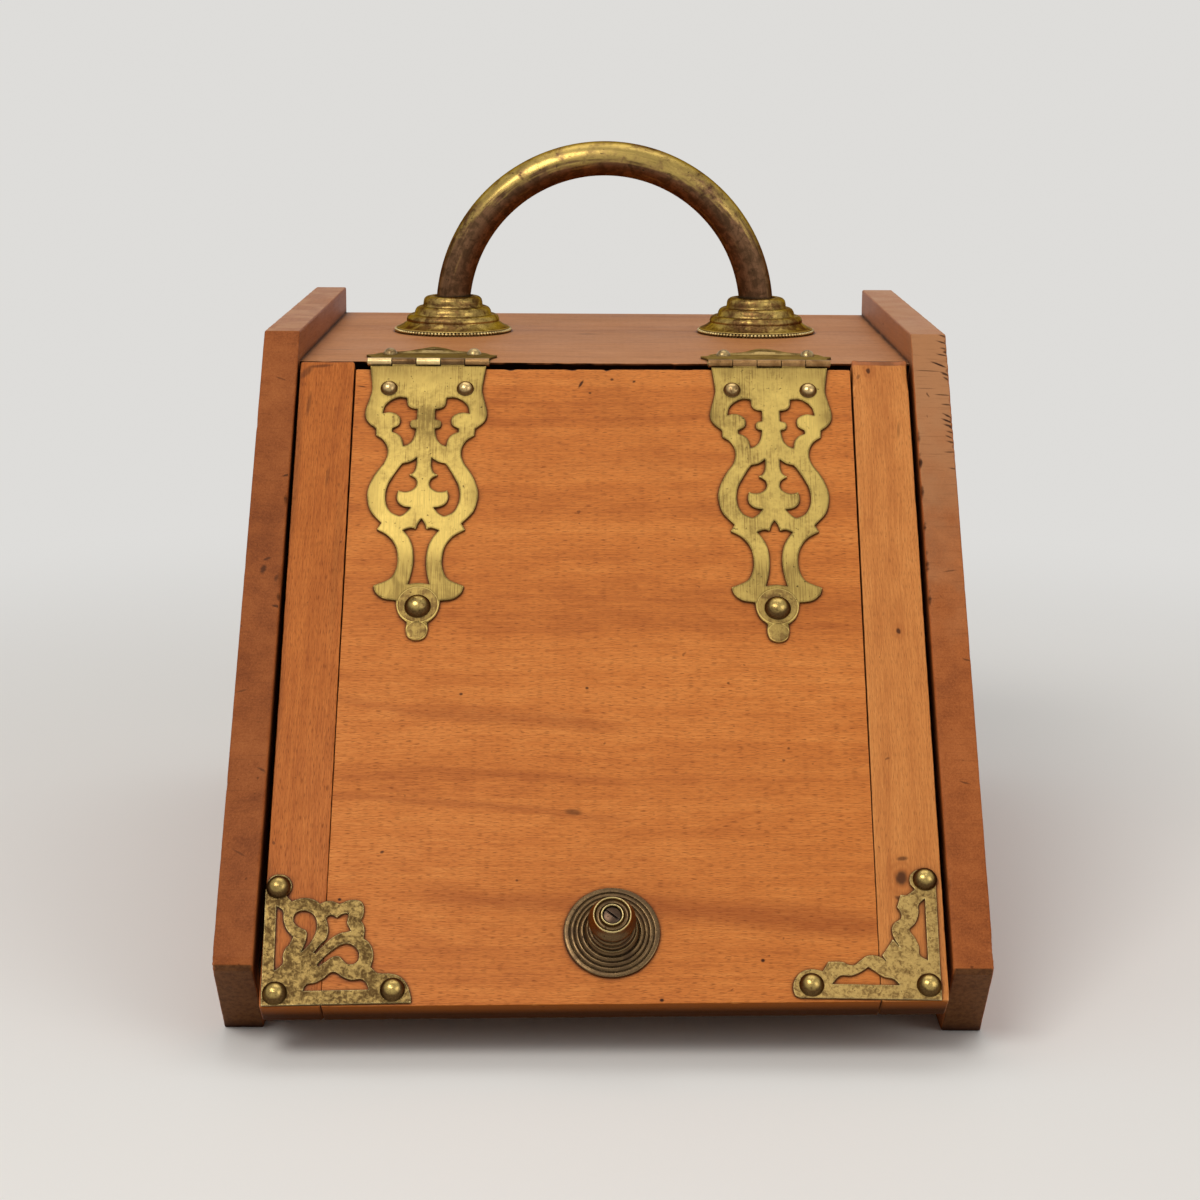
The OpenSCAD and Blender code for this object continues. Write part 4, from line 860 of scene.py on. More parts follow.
knob_bronze = brass("knob_bronze", (0.155, 0.098, 0.046), (0.085, 0.052, 0.028),
                    (0.020, 0.012, 0.007), rough=0.28, grain=210, seed=7.7, bright=1.0, rim=0.95,
                    hollows=0.0018, shine=(0.700, 0.560, 0.250), glance=(0.8, 0.7, 0.5))
screw_bronze = brass("screw_bronze", (0.090, 0.055, 0.035), (0.040, 0.026, 0.018),
                     (0.010, 0.007, 0.005), rough=0.32, grain=300, seed=1.1)
handle_brass = brass("handle_brass", (0.500, 0.350, 0.100), (0.165, 0.084, 0.046),
                     (0.050, 0.034, 0.018), amount=0.42, rough=0.30, grain=80, seed=9.1,
                     brushed=strokes_round, under=low_and_inside, bright=0.0, variety=0.7,
                     glance=(0.40, 0.29, 0.15))
steel = plain("dull_steel", (0.30, 0.29, 0.28), (0.20, 0.12, 0.07), 0.38, metallic=1.0)
liner_black = plain("liner_black", (0.018, 0.018, 0.020), (0.075, 0.060, 0.050), 0.42, scale=24,
                    coat=0.15, amount=0.4)
wire_black = plain("wire_black", (0.030, 0.029, 0.029), (0.12, 0.10, 0.085), 0.38, metallic=0.6,
                   scale=90)


# ------------------------------------------------------------------ the case

def sideways(y, z, x):
    return upright(x, y, z)


def side(name, right, seed, high_marks, low_marks):
    """A side panel with nicks along the two arrises of its sloping edge, each
    (distance down the slope, size, length, tint)."""
    low = CASE_W / 2 - SIDE_T if right else -CASE_W / 2
    outline = [(BACK_Y, 0), (BACK_Y, SIDE_H), (TOP_FRONT_Y, SIDE_H),
               (NOSE_Y + 4.5 * SIN, NOSE_H + 4.5 * COS), (NOSE_Y + 1.1, NOSE_H + 0.1),
               (NOSE_Y + 2.8, NOSE_H - 3.4), (NOSE_Y + FOOT_BACK, 0)]
    nicks = [(face, TOP_FRONT_Y - down * SIN, SIDE_H - down * COS, *mark)
             for face, marks in ((1, high_marks), (0, low_marks)) for down, *mark in marks]
    obj = worn_board(name, outline, low, low + SIDE_T, sideways, side_woods[right],
                     wear=0.4, nicks=nicks, seed=seed, corner_r=1.4, step=1.2)
    settle(obj, "case", "side_wood", name)


# The high face of the left board and the low face of the right one are
# towards the lid.
side("side_panel_left", False, 3, (
    (9, 0.8, 3, 0.7), (14, 0.7, 2.5, 0.8), (40, 0.9, 4, 0.3), (58, 0.6, 3, 0.7),
    (78, 0.7, 4, -0.2), (104, 1.6, 5, -0.5), (118, 0.8, 4, 0.6), (150, 1.3, 7, -0.4),
    (160, 1.5, 3.5, -0.6), (196, 0.7, 5, 0.5), (236, 0.8, 6, -0.2), (270, 0.6, 4, 0.6),
    (300, 0.9, 5, -0.2), (353, 1.8, 7, 0.3)), (
    (58, 1.4, 4, 0.3), (142, 0.7, 5, 0.4), (262, 1.3, 4, -0.3), (333, 0.8, 6, 0.4),
    (353, 2.6, 9, 0.2)))
side("side_panel_right", True, 8, (
    (5, 1.3, 2.2, -0.4), (11, 1.6, 2.0, -0.5), (17, 1.2, 2.2, -0.3), (23, 1.5, 2.0, -0.5),
    (30, 1.0, 2.2, 0.4), (42, 1.3, 2.4, -0.3), (48, 1.2, 2.4, 0.5), (54, 1.3, 2.2, -0.4),
    (58, 1.5, 2.0, -0.5), (64, 1.2, 2.2, 0.4), (70, 1.4, 2.2, -0.4), (77, 1.0, 2.4, 0.4),
    (153, 1.0, 2.6, -0.3), (190, 0.8, 5, 0.4), (258, 0.8, 5, 0.3), (344, 2.4, 9, 0.2)), (
    (64, 1.0, 6, -0.8), (80, 1.3, 5, -0.9), (97, 1.1, 6, -0.8), (118, 1.2, 4, -0.7),
    (140, 1.0, 6, -0.8), (160, 1.1, 5, -0.8), (212, 1.0, 7, 0.3), (270, 0.9, 5, -0.4),
    (312, 1.4, 5, -0.3), (353, 1.6, 7, 0.3)))


def undercut(x, y, z):
    """The front edge leans in parallel to the lid's end, and bows forward a
    little between the hinges."""
    share = share_of((TOP_EDGE_Y + 30 - y) / 27)
    bow = 2.9 * max(0.0, 1 - ((x + 3) / 78) ** 2) - 1.6 * share_of((x - 55) / 45)
    uneven = 0.35 * wave(x / 21, 4.0) + 0.2 * wave(x / 6, 8.0)
    return x, y + share * ((BOARD_Z - z) / TAN - bow - uneven), z


half = INNER_W / 2 + 6
back = BACK_Y - 0.3
top = worn_board(
    "top_board", [(-half, TOP_EDGE_Y), (half, TOP_EDGE_Y), (half, back), (-half, back)],
    BOARD_Z - TOP_T, BOARD_Z, upright, top_wood, arris=0.35, wear=0.5,
    nicks=[(1, x, TOP_EDGE_Y, *mark) for x, *mark in (
        (96, 0.7, 5, 0.6), (-20, 0.5, 7, 0.6), (36, 0.6, 3, 0.8), (-146, 0.6, 5, 0.5))],
    seed=2, corner_r=0.6, shape=undercut)
settle(top, "case", "top_wood", "top_board")
(low_y, low_z), (_, high_z) = ([c / MM for c in corner[1:]]
                               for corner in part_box("bottom_board"))
bottom = worn_board(
    "bottom_board", [(low_y + (high_z - low_z) * FOOT_BACK / NOSE_H, low_z), (back, low_z),
                     (back, high_z), (low_y, high_z)],
    -half, half, sideways, inner_wood, arris=0.4, step=4)
settle(bottom, "case", "inner_wood", "bottom_board")


# ------------------------------------------------------------------- the lid

def end_material(wood_material):
    """The same wood with hardly any gloss, for the sawn lower end."""
    dull = wood_material.copy()
    dull.name = wood_material.name + "_end"
    shader = next(n for n in dull.node_tree.nodes if n.type == "BSDF_PRINCIPLED")
    shader.inputs["Specular IOR Level"].default_value = 0.03
    shader.inputs["Coat Weight"].default_value = 0.0
    return dull


def lid_piece(name, left, right, top_s, material, seed, nicks, corner_r=1.5, drop=0.0):
    """A board of the lid between two edges, each given by its x at the hinge
    line and at the foot, with nicks (x, s, size, length, tint) along its
    face. Its top end may drop from left to right."""

    def at(edge, s):
        return edge[0] + (edge[0] - edge[1]) * s / LID_LEN, s

    outline = [at(left, foot_s(left[1])), at(right, foot_s(right[1])),
               at(right, top_s + drop), at(left, top_s - drop)]
    obj = worn_board(name, outline, -LID_T, 0, on_face, material, arris=0.5, wear=0.6,
                     nicks=[(1, *nick) for nick in nicks], seed=seed, corner_r=corner_r, step=1.6)
    obj.data.materials.append(end_material(material))
    for face in obj.data.polygons:
        if face.normal.dot(Vector(LID_END)) > 0.8:
            face.material_index = 1
    return obj


EDGE, DROP = LID_W / 2, -3.2
panel = lid_piece(
    "lid_panel", (-128.9, -127.25), (126.9, 125.66), DROP, panel_wood, 11,
    ((-49, DROP, 1.2, 2.6, -1), (-17, DROP, 1.0, 2.6, -1), (1, DROP, 0.9, 2.4, -1),
     (42, DROP, 0.6, 5, 0.3), (-112, DROP, 0.7, 3, -0.5), (104, DROP, 0.6, 4, 0.3),
     (60, foot_s(60), 0.8, 5, 0.3), (-30, foot_s(-30), 0.7, 4, 0.4),
     (102, foot_s(102), 0.7, 4, 0.3)), corner_r=0.9, drop=0.6)
tongue = worn_board("tongue", [(-131, -340), (129, -340), (129, -14), (-131, -14)],
                    -10.5, -6, on_face, panel_wood, arris=0.3, step=12)
settle(joined("lid_panel", [panel, tongue]), "lid", "lid_wood", "lid_panel")
clamp = lid_piece(
    "lid_clamp_left", (-EDGE - LID_LEAN, -EDGE + LID_LEAN), (-129.8, -127.2), 0.9,
    clamp_left_wood, 12,
    ((-155.2, -352, 1.5, 5, 0.2), (-156.5, -196, 0.7, 6, 0.3), (-129.5, -30, 0.5, 6, 0.5),
     (-157.6, -60, 0.6, 4, 0.4), (-157.2, -118, 0.5, 5, 0.4)))
settle(clamp, "lid", "lid_wood", "lid_clamp_left")
clamp = lid_piece(
    "lid_clamp_right", (127.9, 125.7), (EDGE, EDGE), 3.5, clamp_right_wood, 13,
    ((142, 3.5, 3.0, 24, 0, 0.3), (130, 3.5, 0.8, 3, 0.1), (152, 3.5, 0.8, 3, 0.0),
     (EDGE, -349, 1.4, 5, 0.2), (127.8, -14, 0.7, 4, 0.5), (EDGE, -80, 0.6, 5, 0.4)))
settle(clamp, "lid", "lid_wood", "lid_clamp_right")

# ------------------------------------------------------------ strap hinges
STRAP_HALF = [
    (29, 10), (28.3, 17.5), (29.5, 24), (31, 30.5), (30.8, 35),
    (28.8, 38.5), (25.3, 41.5, 1), (25, 45.8, 1), (21.5, 48.4), (19.2, 52.5), (18.7, 57.5),
    (20.2, 62.5), (23.4, 67.5), (26, 73), (27.7, 79), (27.6, 84.5), (25.6, 91.5), (20, 98.3, 1),
    (22, 102, 1), (16, 106), (12.2, 112), (11, 119), (11.6, 125), (14.5, 130.6),
    (22.3, 134.5, 1), (21, 138.5), (17, 141.8), (10.8, 142.8, 1), (10.2, 147.5), (8.4, 151.8),
    (5, 155, 1), (5.3, 159.6), (3.8, 163.6)]
STRAP_UPPER = [
    (10.2, 22.6, 1), (14.5, 22.4), (18.2, 24.2), (21.2, 27.6), (22.3, 32.4, 1), (18.5, 31.6),
    (15.2, 32.8), (13.2, 35.2), (13.6, 39.2), (17, 41.6, 1), (17, 43.7, 1), (14, 45),
    (11.8, 47.8), (10.9, 52.5, 1), (8, 50.8), (5.8, 47.5), (4.7, 41.6, 1), (7.2, 40.8),
    (7.9, 38.6), (7.2, 36.7), (4.6, 36, 1), (4.5, 29.6, 1), (7.6, 29), (9.6, 27)]
STRAP_LYRE = [
    (3.6, 59, 1), (6.8, 61.6), (10.9, 62.8, 1), (13.2, 66.4), (15.8, 71.3), (17.8, 75.8),
    (18.7, 81.5), (18, 87.2), (15.5, 91.8), (11.1, 94.2, 1), (8.6, 92.6), (5.6, 89, 1),
    (9.2, 88.4), (12, 86.2), (13, 82.6), (12.4, 78.8, 1), (9.8, 79.7), (6.7, 79.3), (4.2, 77.5),
    (3.2, 75), (4, 72), (7.2, 69.6, 1), (5, 68), (3.8, 64.5)]
STRAP_SLOT = [
    (0, 95.5, 1), (1.6, 98.2), (2.7, 101.6, 1), (5.4, 101), (9, 102.4, 1), (6.2, 106.2),
    (4.1, 111), (3.2, 117), (3.3, 123), (4.1, 128.5), (5.4, 133.6, 1), (0, 132.8)]
LEAF_HALF = [
    (30.6, 7), (31, 14), (32, 21), (34.5, 27, 1), (31, 29.5),
    (29.4, 33.5), (27, 37), (22.2, 38.5), (17.5, 37.5, 1), (14, 37.2), (11.5, 38.4),
    (8.2, 43), (4.2, 47.5)]
LEAF_EYE = [(0, 36, 1), (4, 35.6), (7.4, 37.4, 1), (5.2, 40.6), (2.4, 43.6), (0, 45, 1)]
KNUCKLE_R, PIN_HOLE_R, BARREL_W, KNUCKLE_GAP = 2.2, 1.15, 63.0, 0.3
KNUCKLE_W = BARREL_W / 5
# Down the strap from the axis: the middles of the two nails at its head, of
# its lug, of the nail there, and of its tip.
NAIL_D, LUG_D, LUG_NAIL_D, TIP_D = 17, 145.2, 146.3, 159.8
NAIL_X = 19.6
ROLL_TONES = {"left": ("pale", "dark", "bright", "dark", "middle"), "right": ("middle",) * 5}


def flipped(points):
    return [(-p[0], *p[1:]) for p in points]


def mirrored(half):
    """The whole of an outline whose first and last points are on its axis."""
    return half + flipped(half[-2:0:-1])


def toothed(odd, width, half, tip):
    """The outline of a plate from one half of it. Its edge at the axis
    reaches in under the plate's own knuckles only."""
    points = []
    for i in range(5):
        x0, x1 = -BARREL_W / 2 + i * KNUCKLE_W, -BARREL_W / 2 + (i + 1) * KNUCKLE_W
        wider, d = (-0.2, 0.6) if i % 2 == odd else (0.2, 2.75)
        points += [(x0 - wider, d, 1), (x1 + wider, d, 1)]
    points = [p for p in points if abs(p[0]) < width]
    if odd:
        points = [(-width, 2.75, 1)] + points + [(width, 2.75, 1)]
    return points + half + [tip] + flipped(half[::-1])


def knuckle_set(name, odd, x, place, tones):
    """The rolled knuckles about the x axis, with rounded ends."""
    parts = []
    for i in range(odd, 5, 2):
        x0 = x - BARREL_W / 2 + i * KNUCKLE_W + (0 if i == 0 else KNUCKLE_GAP / 2)
        x1 = x - BARREL_W / 2 + (i + 1) * KNUCKLE_W - (0 if i == 4 else KNUCKLE_GAP / 2)
        r = KNUCKLE_R
        profile = [(PIN_HOLE_R, x0), (r - 0.3, x0), (r - 0.08, x0 + 0.08), (r, x0 + 0.3),
                   (r, x1 - 0.3), (r - 0.08, x1 - 0.08), (r - 0.3, x1), (PIN_HOLE_R, x1)]
        parts.append(lathe(name + str(i), profile, (0, 0), lambda a, b, h: place(h, a, b),
                           rolls[tones[i]], steps=32))
    return joined(name, parts)


def near_axis_lid(x, d, h):
    """d down the strap from the hinge axis, h out of the middle of the sheet."""
    return on_face(x, AXIS_S - d, STRAP_T / 2 + h)


def near_axis_top(x, d, h):
    return upright(x, AXIS_Y + d, AXIS_Z + h)


def bulged(x, a, b, h):
    """The top leaf stands a little off the board behind its middle."""
    lift = 1.7 * math.exp(-(a / 17) ** 2) * share_of((b - 14) / 22)
    lift += 0.35 * max(0, 1 - b / 9) + 0.25 * wave(a / 6, b / 8, x)
    return near_axis_top(x + a, b, h - STRAP_T / 2 + max(0.0, lift))


def dome(x, d, radius, height, material):
    """The domed head of a nail on the strap, with a thin flat rim."""
    ball = (radius ** 2 + height ** 2) / (2 * height)
    profile = [(0.1, -0.2), (radius, -0.2), (radius, 0.25)]
    for k in range(1, 14):
        r = radius * math.cos(math.pi / 2 * k / 14)
        profile.append((r, max(0.3, height - ball + math.sqrt(ball * ball - r * r))))
    profile.append((0.05, height))
    return lathe("dome", profile, (x, d), lambda a, b, h: near_axis_lid(a, b, STRAP_T / 2 + h),
                 material, steps=56, wobble=0.012, seed=x)


small_heads, large_heads = [], []
for name, x0 in zip(("left", "right"), HINGES):

    def on_strap(a, b, h):
        return near_axis_lid(x0 + a, b, h - STRAP_T / 2)

    loops = [toothed(1, 30.0, STRAP_HALF, (0, 165)), STRAP_UPPER, STRAP_LYRE,
             flipped(STRAP_UPPER), flipped(STRAP_LYRE), mirrored(STRAP_SLOT)]
    parts = [plate("strap_plate_" + name, loops, STRAP_T, on_strap, strap_brass,
                   ripple=0.10, seed=x0)]
    for d, steps, disc in (
            (LUG_D, 64, [(0.1, 1.45), (8.6, 1.45), (9.6, 1.40), (10.0, 1.15), (10.0, 0.9)]),
            (TIP_D, 48, [(0.1, 1.42), (4.2, 1.42), (4.9, 1.32), (5.1, 1.1), (5.1, 0.9)])):
        parts.append(lathe("disc", smooth_profile(disc, 2), (0, d), on_strap, lug_brass,
                           steps=steps))
    small_heads += [dome(x0 + k * NAIL_X, NAIL_D, 4.4, 3.4, small_dome) for k in (-1, 1)]
    large_heads.append(dome(x0, LUG_NAIL_D, 6.5, 5.0, lid_nail_brass))
    parts.append(knuckle_set("strap_rolls_" + name, 1, x0, near_axis_lid, ROLL_TONES[name]))
    settle(joined("strap_" + name, parts), "lid", "brushed_brass", "strap_" + name)

    loops = [toothed(0, 31.6, LEAF_HALF, (0, 50, 1)), mirrored(LEAF_EYE)]
    leaf = plate("leaf_plate_" + name, loops, STRAP_T, lambda a, b, h: bulged(x0, a, b, h),
                 leaf_brasses[x0 > 0])
    barrels = knuckle_set("leaf_rolls_" + name, 0, x0, near_axis_top, ROLL_TONES[name])
    settle(joined("hinge_leaf_" + name, [leaf, barrels]),
           "case", "aged_brass", "hinge_leaf_" + name)

for name, heads in (("strap_nails", small_heads), ("strap_end_nails", large_heads)):
    settle(joined(name, heads), "lid", "aged_brass", name)

# ------------------------------------------------------------ corner mounts
MOUNT_TOP = [(0, 0, 1), (0, 56, 1), (1, 61), (4, 64), (8.5, 63.8), (11.6, 61), (12, 57)]
MOUNT_LEFT = [[
    *MOUNT_TOP,
    (9.6, 53.6, 1), (12.4, 50.6, 1), (14.6, 51.6), (18.3, 52.3), (22.3, 51.4), (25.5, 49.2, 1),
    (28.2, 50.4), (31.4, 50.2), (34.4, 48.8, 1), (37.9, 50.4), (41.6, 50.8), (44.6, 49.5),
    (45.6, 46.4), (45.4, 43), (44.3, 40.5, 1), (45.7, 38.2), (46.1, 35), (45.7, 31.7, 1),
    (48.3, 29.4), (50, 25.9), (50.2, 21.7), (49.2, 17.7, 1), (52.5, 14.6), (58.5, 14.2),
    (63, 12.4), (66, 8.4), (67.6, 3), (67.6, 0, 1)],
    [(5.4, 48.6, 1), (8.4, 46), (8.8, 41.4), (10.4, 36.8), (13.5, 33.1, 1), (12, 29.6),
     (9.9, 27), (9.1, 23.6), (9.2, 20), (5.4, 16.6, 1)],
    [(17.4, 25.5, 1), (18.7, 28.9), (19.7, 32.6), (19.4, 36), (16.4, 37.6), (14.1, 39.6),
     (13.4, 42.4), (14.6, 45), (17.8, 46), (21.2, 44.9), (23.5, 42.2), (24.2, 38.5),
     (23.6, 34.6), (21.8, 30.5), (19.4, 27.4)],
    [(23, 25.1, 1), (26.1, 29), (28.8, 32.2), (29.5, 36.8), (28.3, 42, 1), (30.4, 43.6),
     (33.3, 42.1, 1), (35.7, 43.8), (38.7, 44.2, 1), (37.9, 39.3, 1), (39.9, 35.4, 1),
     (34.9, 34.4), (31, 32), (27.2, 28.4), (24.2, 24.6, 1)],
    [(24.7, 19.3, 1), (27.5, 22.6), (31.2, 25.8), (35, 28.5), (38.6, 29.2), (41.8, 27.6),
     (43.6, 24.8), (43.6, 21.6), (41.8, 19.4), (38.9, 19.2), (36.9, 20.8), (34.6, 23.2),
     (31.6, 22.8), (28.6, 20.6), (25.4, 18.5, 1)],
    [(18.6, 6.8, 1), (20.4, 9.8), (24.2, 10.5), (28, 12.6), (30.9, 15.2), (33.5, 15.3),
     (36.5, 13.1), (40.4, 11.5), (44.8, 11.8), (47.2, 10), (48.6, 6.8, 1)]]
MOUNT_RIGHT = [[
    *MOUNT_TOP,
    (9.7, 54, 1), (13.6, 50.8, 1), (16.6, 51.1, 1), (18.4, 44.9, 1), (16.9, 42.2),
    (16.9, 39.4), (20, 37), (21.2, 33.8), (20.4, 29.7), (17.9, 25.2, 1), (21, 29, 1),
    (23.2, 25.6, 1), (26.1, 21.1, 1), (24.3, 18.2, 1), (26.9, 20.2), (30, 21.1), (33.3, 20.6),
    (36.2, 18.4), (39, 16.2), (42, 16.4), (44.6, 17.6), (50.7, 17.6, 1), (53.4, 13, 1),
    (58.6, 13.8), (63.6, 12), (66.8, 7), (66.4, 1.6), (64, 0, 1)],
    [(5.4, 49.6, 1), (8.4, 46.4), (8.7, 41.8), (10.4, 37.2), (13.2, 33.9), (11, 30.2),
     (9.2, 25.7), (9, 21.6), (5.4, 19, 1)],
    [(49.4, 6.8, 1), (45.6, 10.8), (40.6, 11), (36.3, 12.8), (32.6, 15.4, 1), (29.6, 13.2),
     (25.8, 10.6), (21.4, 9.6), (18.6, 6.8, 1)]]

# Each mount: the side, its corner on the lid, how it is turned, and its loops.
for name, sign, x, lift, turn, loops in (
        ("left", 1, -LID_W / 2 + 2.3, 0.3, math.radians(1.6), MOUNT_LEFT),
        ("right", -1, LID_W / 2 - 3.5, 0.2, math.radians(-0.7), MOUNT_RIGHT)):
    ct, st = math.cos(turn), math.sin(turn)
    s = foot_s(x) + lift
    mount = plate("corner_mount_" + name, loops, MOUNT_T,
                  lambda a, b, h: on_face(x + sign * a * ct - b * st,
                                          s + sign * a * st + b * ct, h),
                  mount_brasses[name], bevel=0.3, ripple=0.12, seed=sign * 6)
    settle(mount, "lid", "aged_brass", "corner_mount_" + name)

# ---------------------------------------------------------------- the knob
KNOB = (4.0, -LID_LEN + 34.5)
KNOB_H, ROSE_T = 22.0, 4.6
rose_profile = smooth_profile([
    (2.2, 0, 1), (21.6, 0, 1), (22.0, 0.4, 1), (21.9, 1.2, 1), (21.3, 1.45), (19.8, 1.5, 1),
    (19.4, 1.05, 1), (19.0, 1.5), (18.4, 1.85), (17.6, 1.85), (17.1, 1.45, 1), (16.8, 1.95),
    (16.2, 2.45), (15.5, 2.5), (15.0, 2.1, 1), (14.7, 2.6), (14.0, 3.2), (13.2, 3.25),
    (12.7, 2.8, 1), (12.4, 3.4), (11.8, 4.2), (11.0, ROSE_T, 1), (2.2, ROSE_T, 1)], 3)
rose = lathe("knob_rose", rose_profile, KNOB, on_face, knob_bronze, steps=160, wobble=0.004)
above_rose = [
    (2.2, 0, 1), (11.5, 0, 1), (11.9, 0.6), (11.5, 1.3), (10.8, 1.25, 1), (10.9, 2.1),
    (10.5, 2.9), (9.7, 3.0, 1), (9.6, 3.9), (9.0, 4.6), (8.4, 4.7, 1), (8.2, 6.5), (8.2, 8.4),
    (8.6, 9.6), (9.6, 10.4, 1), (10.9, 11.0, 1), (10.8, 11.9), (10.1, 13.4), (9.4, 14.9),
    (8.9, 16.4), (8.6, 17.2), (8.35, 17.3), (8.1, 17.1, 1), (7.7, 16.2), (7.2, 15.6),
    (6.4, 15.5), (5.8, 15.8), (5.3, 16.6, 1)]
near_top = [(5.1, 0.15), (4.8, 0), (4.5, 0.15, 1), (4.2, 0.9, 1), (4.05, 2.6, 1), (2.2, 2.6, 1)]
knob_profile = smooth_profile([(r, ROSE_T + up, *crease) for r, up, *crease in above_rose]
                              + [(r, KNOB_H - down, *crease) for r, down, *crease in near_top],
                              3)
knob = lathe("knob", knob_profile, KNOB, on_face, knob_bronze, wobble=0.003)
settle(rose, "lid", "dark_bronze", "knob_rose")
settle(knob, "lid", "dark_bronze", "knob")

# --------------------------------------------------------- the handle's roses
foot_profile = smooth_profile([
    (4.3, 0, 1), (32.6, 0, 1), (32.6, 0.4), (32.0, 0.6, 1), (31.9, 2.0, 1), (32.6, 2.15),
    (32.5, 2.6), (31.2, 3.1), (29.2, 4.1), (27.6, 5.2), (26.6, 6.0, 1), (26.7, 7.3),
    (26.0, 8.9), (24.4, 9.9), (22.6, 10.0, 1), (22.1, 10.8), (21.7, 12.2), (20.8, 13.6),
    (19.2, 14.5), (17.6, 14.6, 1), (17.1, 15.5), (16.9, 17.2), (16.4, 18.8), (15.0, 20.0),
    (13.0, 20.4), (11.2, 20.2), (10.0, 19.4, 1), (10.0, 9.0, 1), (4.3, 9.0, 1)])
BEADS, BEAD_R, BEAD_RING_R, BEAD_H = 100, 1.02, 32.9, 1.15


def beads(name, x):
    """A row of small beads round the rim of a rose."""
    bm = bmesh.new()
    for k in range(BEADS):
        a = 2 * math.pi * k / BEADS
        made = bmesh.ops.create_icosphere(bm, subdivisions=2, radius=BEAD_R * MM)
        at = upright(x + BEAD_RING_R * math.cos(a), HANDLE_Y + BEAD_RING_R * math.sin(a),
                     BOARD_Z + BEAD_H)
        bmesh.ops.translate(bm, verts=made["verts"], vec=at)
    mesh = bpy.data.meshes.new(name)
    bm.to_mesh(mesh)
    bm.free()
    mesh.materials.append(bead_brass)
    mesh.polygons.foreach_set("use_smooth", [True] * len(mesh.polygons))
    return add_object(name, mesh)


for name, x in (("left", -HANDLE_R), ("right", HANDLE_R)):
    foot = lathe("foot_" + name, foot_profile, (x, HANDLE_Y),
                 lambda a, b, h: upright(a, b, BOARD_Z + h), rose_brass, steps=160,
                 wobble=0.005, seed=x)
    settle(joined("handle_rose_" + name, [foot, beads("beads_" + name, x)]),
           "case", "aged_brass", "handle_rose_" + name)

# ------------------------------------------------ finishes of the CAD pieces
for names, material in (
        (("back_board",), inner_wood), (("hinge_pin_left",), leaf_brasses[0]),
        (("hinge_pin_right",), leaf_brasses[1]), (("leaf_nails",), top_nail_brass),
        (("corner_nails",), lid_nail_brass), (("knob_screw",), screw_bronze),
        (("carry_handle",), handle_brass), (("liner_drop_handle",), wire_black),
        (("coal_liner", "liner_clip"), liner_black),
        (("carcass_nails", "handle_studs", "handle_washers", "handle_nuts", "liner_rivets"),
         steel)):
    for name in names:
        for place in nodes[name].material_slots:
            place.material = material
        if not nodes[name].material_slots:
            nodes[name].data.materials.append(material)

# -------------------------------------------------------- floor, light, view
BACKDROP = (0.73, 0.72, 0.70)


def background_rays(tree):
    """1 for the rays that see the background: camera, glossy, transmission."""
    ray = tree.nodes.new("ShaderNodeLightPath")
    out = ray.outputs["Is Camera Ray"]
    for kind in ("Is Glossy Ray", "Is Transmission Ray"):
        both = tree.nodes.new("ShaderNodeMath")
        both.operation = "MAXIMUM"
        tree.links.new(out, both.inputs[0])
        tree.links.new(ray.outputs[kind], both.inputs[1])
        out = both.outputs[0]
    return out


def blended(tree, fac, a, b, target):
    pick = tree.nodes.new("ShaderNodeMixShader")
    for socket, link in zip(pick.inputs, (fac, a, b)):
        tree.links.new(link, socket)
    tree.links.new(pick.outputs[0], target)


sh = Shade("floor")
sh.finish({"Base Color": sh.mix(sh.noise(sh.pos, 3.0, 3), (0.86, 0.85, 0.83),
                                (0.83, 0.82, 0.80)),
           "Roughness": 0.7, "Specular IOR Level": 0.2})
away = sh.vec("LENGTH", sh.pos).to(0.45, 1.15) * Value(sh, background_rays(sh.tree))
blended(sh.tree, away.socket, sh.bsdf.outputs[0], sh.add("Emission", BACKDROP).outputs[0],
        sh.out.inputs[0])
floor = new_object("floor", [(-9, -9, 0), (9, -9, 0), (9, 9, 0), (-9, 9, 0)], [(0, 1, 2, 3)],
                   sh.mat, smooth=False)

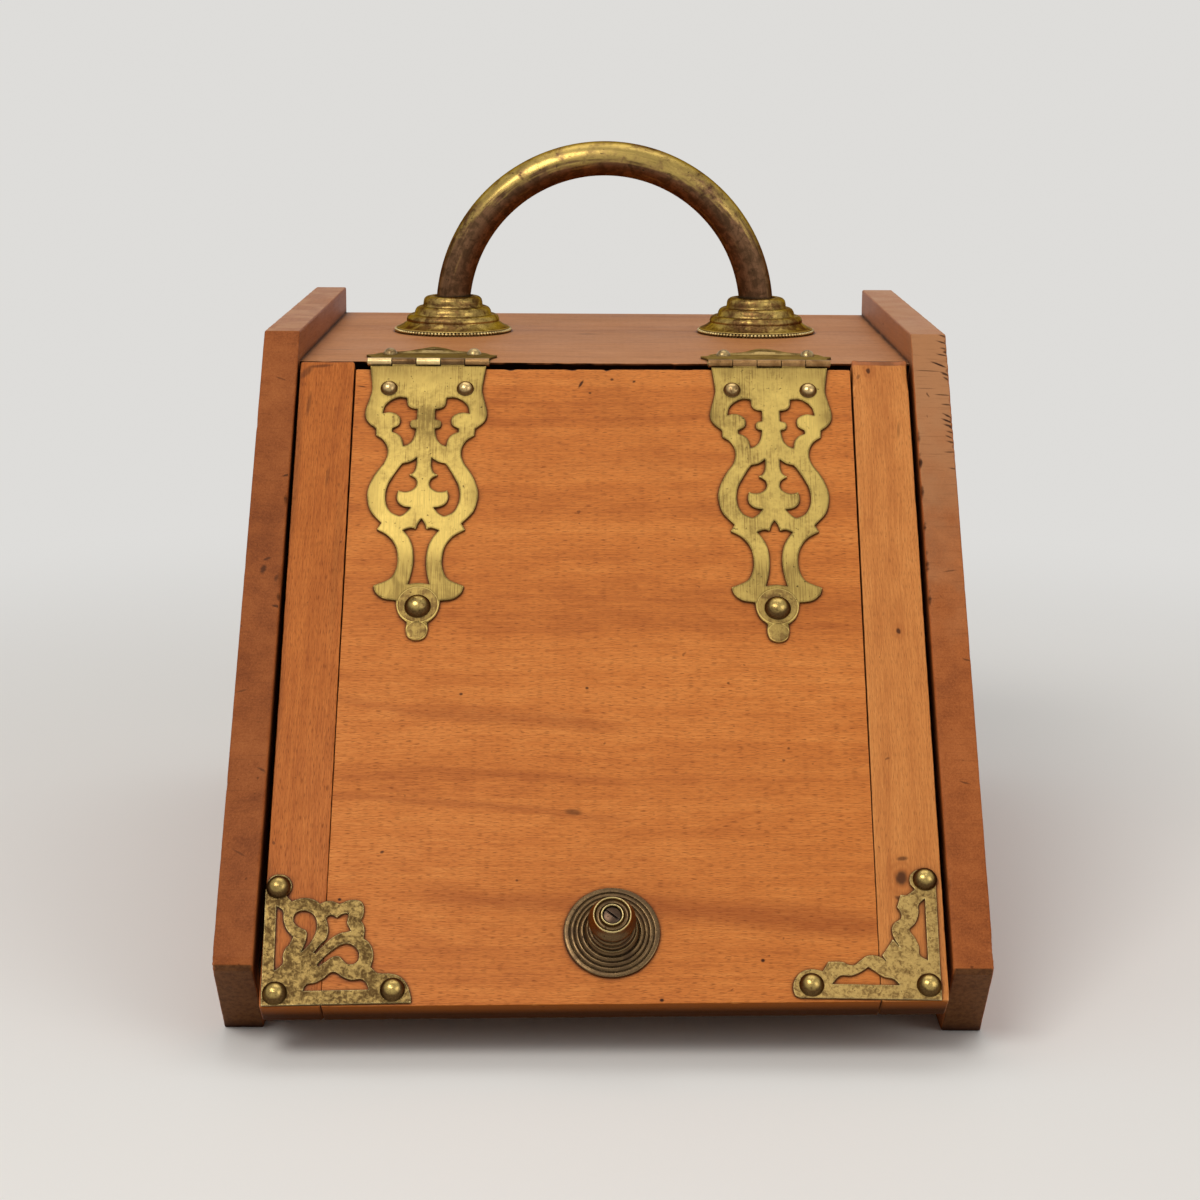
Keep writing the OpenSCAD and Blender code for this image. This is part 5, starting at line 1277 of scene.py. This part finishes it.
scene = bpy.context.scene
world = scene.world = bpy.data.worlds.new("studio")
world.use_nodes = True
tree = world.node_tree
tree.nodes.clear()
glow, seen = tree.nodes.new("ShaderNodeBackground"), tree.nodes.new("ShaderNodeBackground")
glow.inputs[0].default_value = (1.0, 0.985, 0.965, 1)
glow.inputs[1].default_value = 0.42
seen.inputs[0].default_value = (*BACKDROP, 1)
blended(tree, background_rays(tree), glow.outputs[0], seen.outputs[0],
        tree.nodes.new("ShaderNodeOutputWorld").inputs[0])

# Each softbox: where it is, the height of the point it is aimed at on the z
# axis, its two sizes, its power and its colour.
for name, at, aim_z, size, power, colour in (
        ("key", (-0.9, -1.5, 2.2), 0.15, (1.3, 1.0), 27, (1.0, 0.965, 0.915)),
        ("fill", (1.7, -1.5, 1.3), 0.15, (1.3, 1.3), 8, (1.0, 0.975, 0.94)),
        ("above", (0.1, 0.5, 2.2), 0.2, (1.8, 1.2), 8, (1.0, 0.985, 0.96))):
    light = bpy.data.lights.new(name, "AREA")
    light.shape = "RECTANGLE"
    light.size, light.size_y = size
    light.energy, light.color = power, colour
    lamp = add_object(name, light)
    lamp.location = at
    lamp.rotation_mode = "QUATERNION"
    lamp.rotation_quaternion = (Vector((0, 0, aim_z)) - Vector(at)).to_track_quat("-Z", "Y")

# The camera, in millimetres and degrees, as it was fitted to the box's edges.
LENS, EYE = 78.0, (-4.1, BACK_Y - 1608.1, 450.4)
pitch, yaw, roll = (math.radians(a) for a in (11.965, 0.092, 0.3155))
view = bpy.data.cameras.new("view")
view.sensor_width, view.lens = 36, LENS
view.clip_start, view.clip_end = 0.05, 50
cam = scene.camera = add_object("view", view)
cam.location = upright(*EYE)
forward = Vector((math.sin(yaw) * math.cos(pitch), math.cos(yaw) * math.cos(pitch),
                  -math.sin(pitch)))
right = Vector((math.cos(yaw), -math.sin(yaw), 0))
up = right.cross(forward)
right, up = (math.cos(roll) * right + math.sin(roll) * up,
             math.cos(roll) * up - math.sin(roll) * right)
cam.rotation_mode = "QUATERNION"
cam.rotation_quaternion = Matrix((right, up, -forward)).transposed().to_quaternion()

scene.view_settings.view_transform = "Standard"
scene.render.film_transparent = False
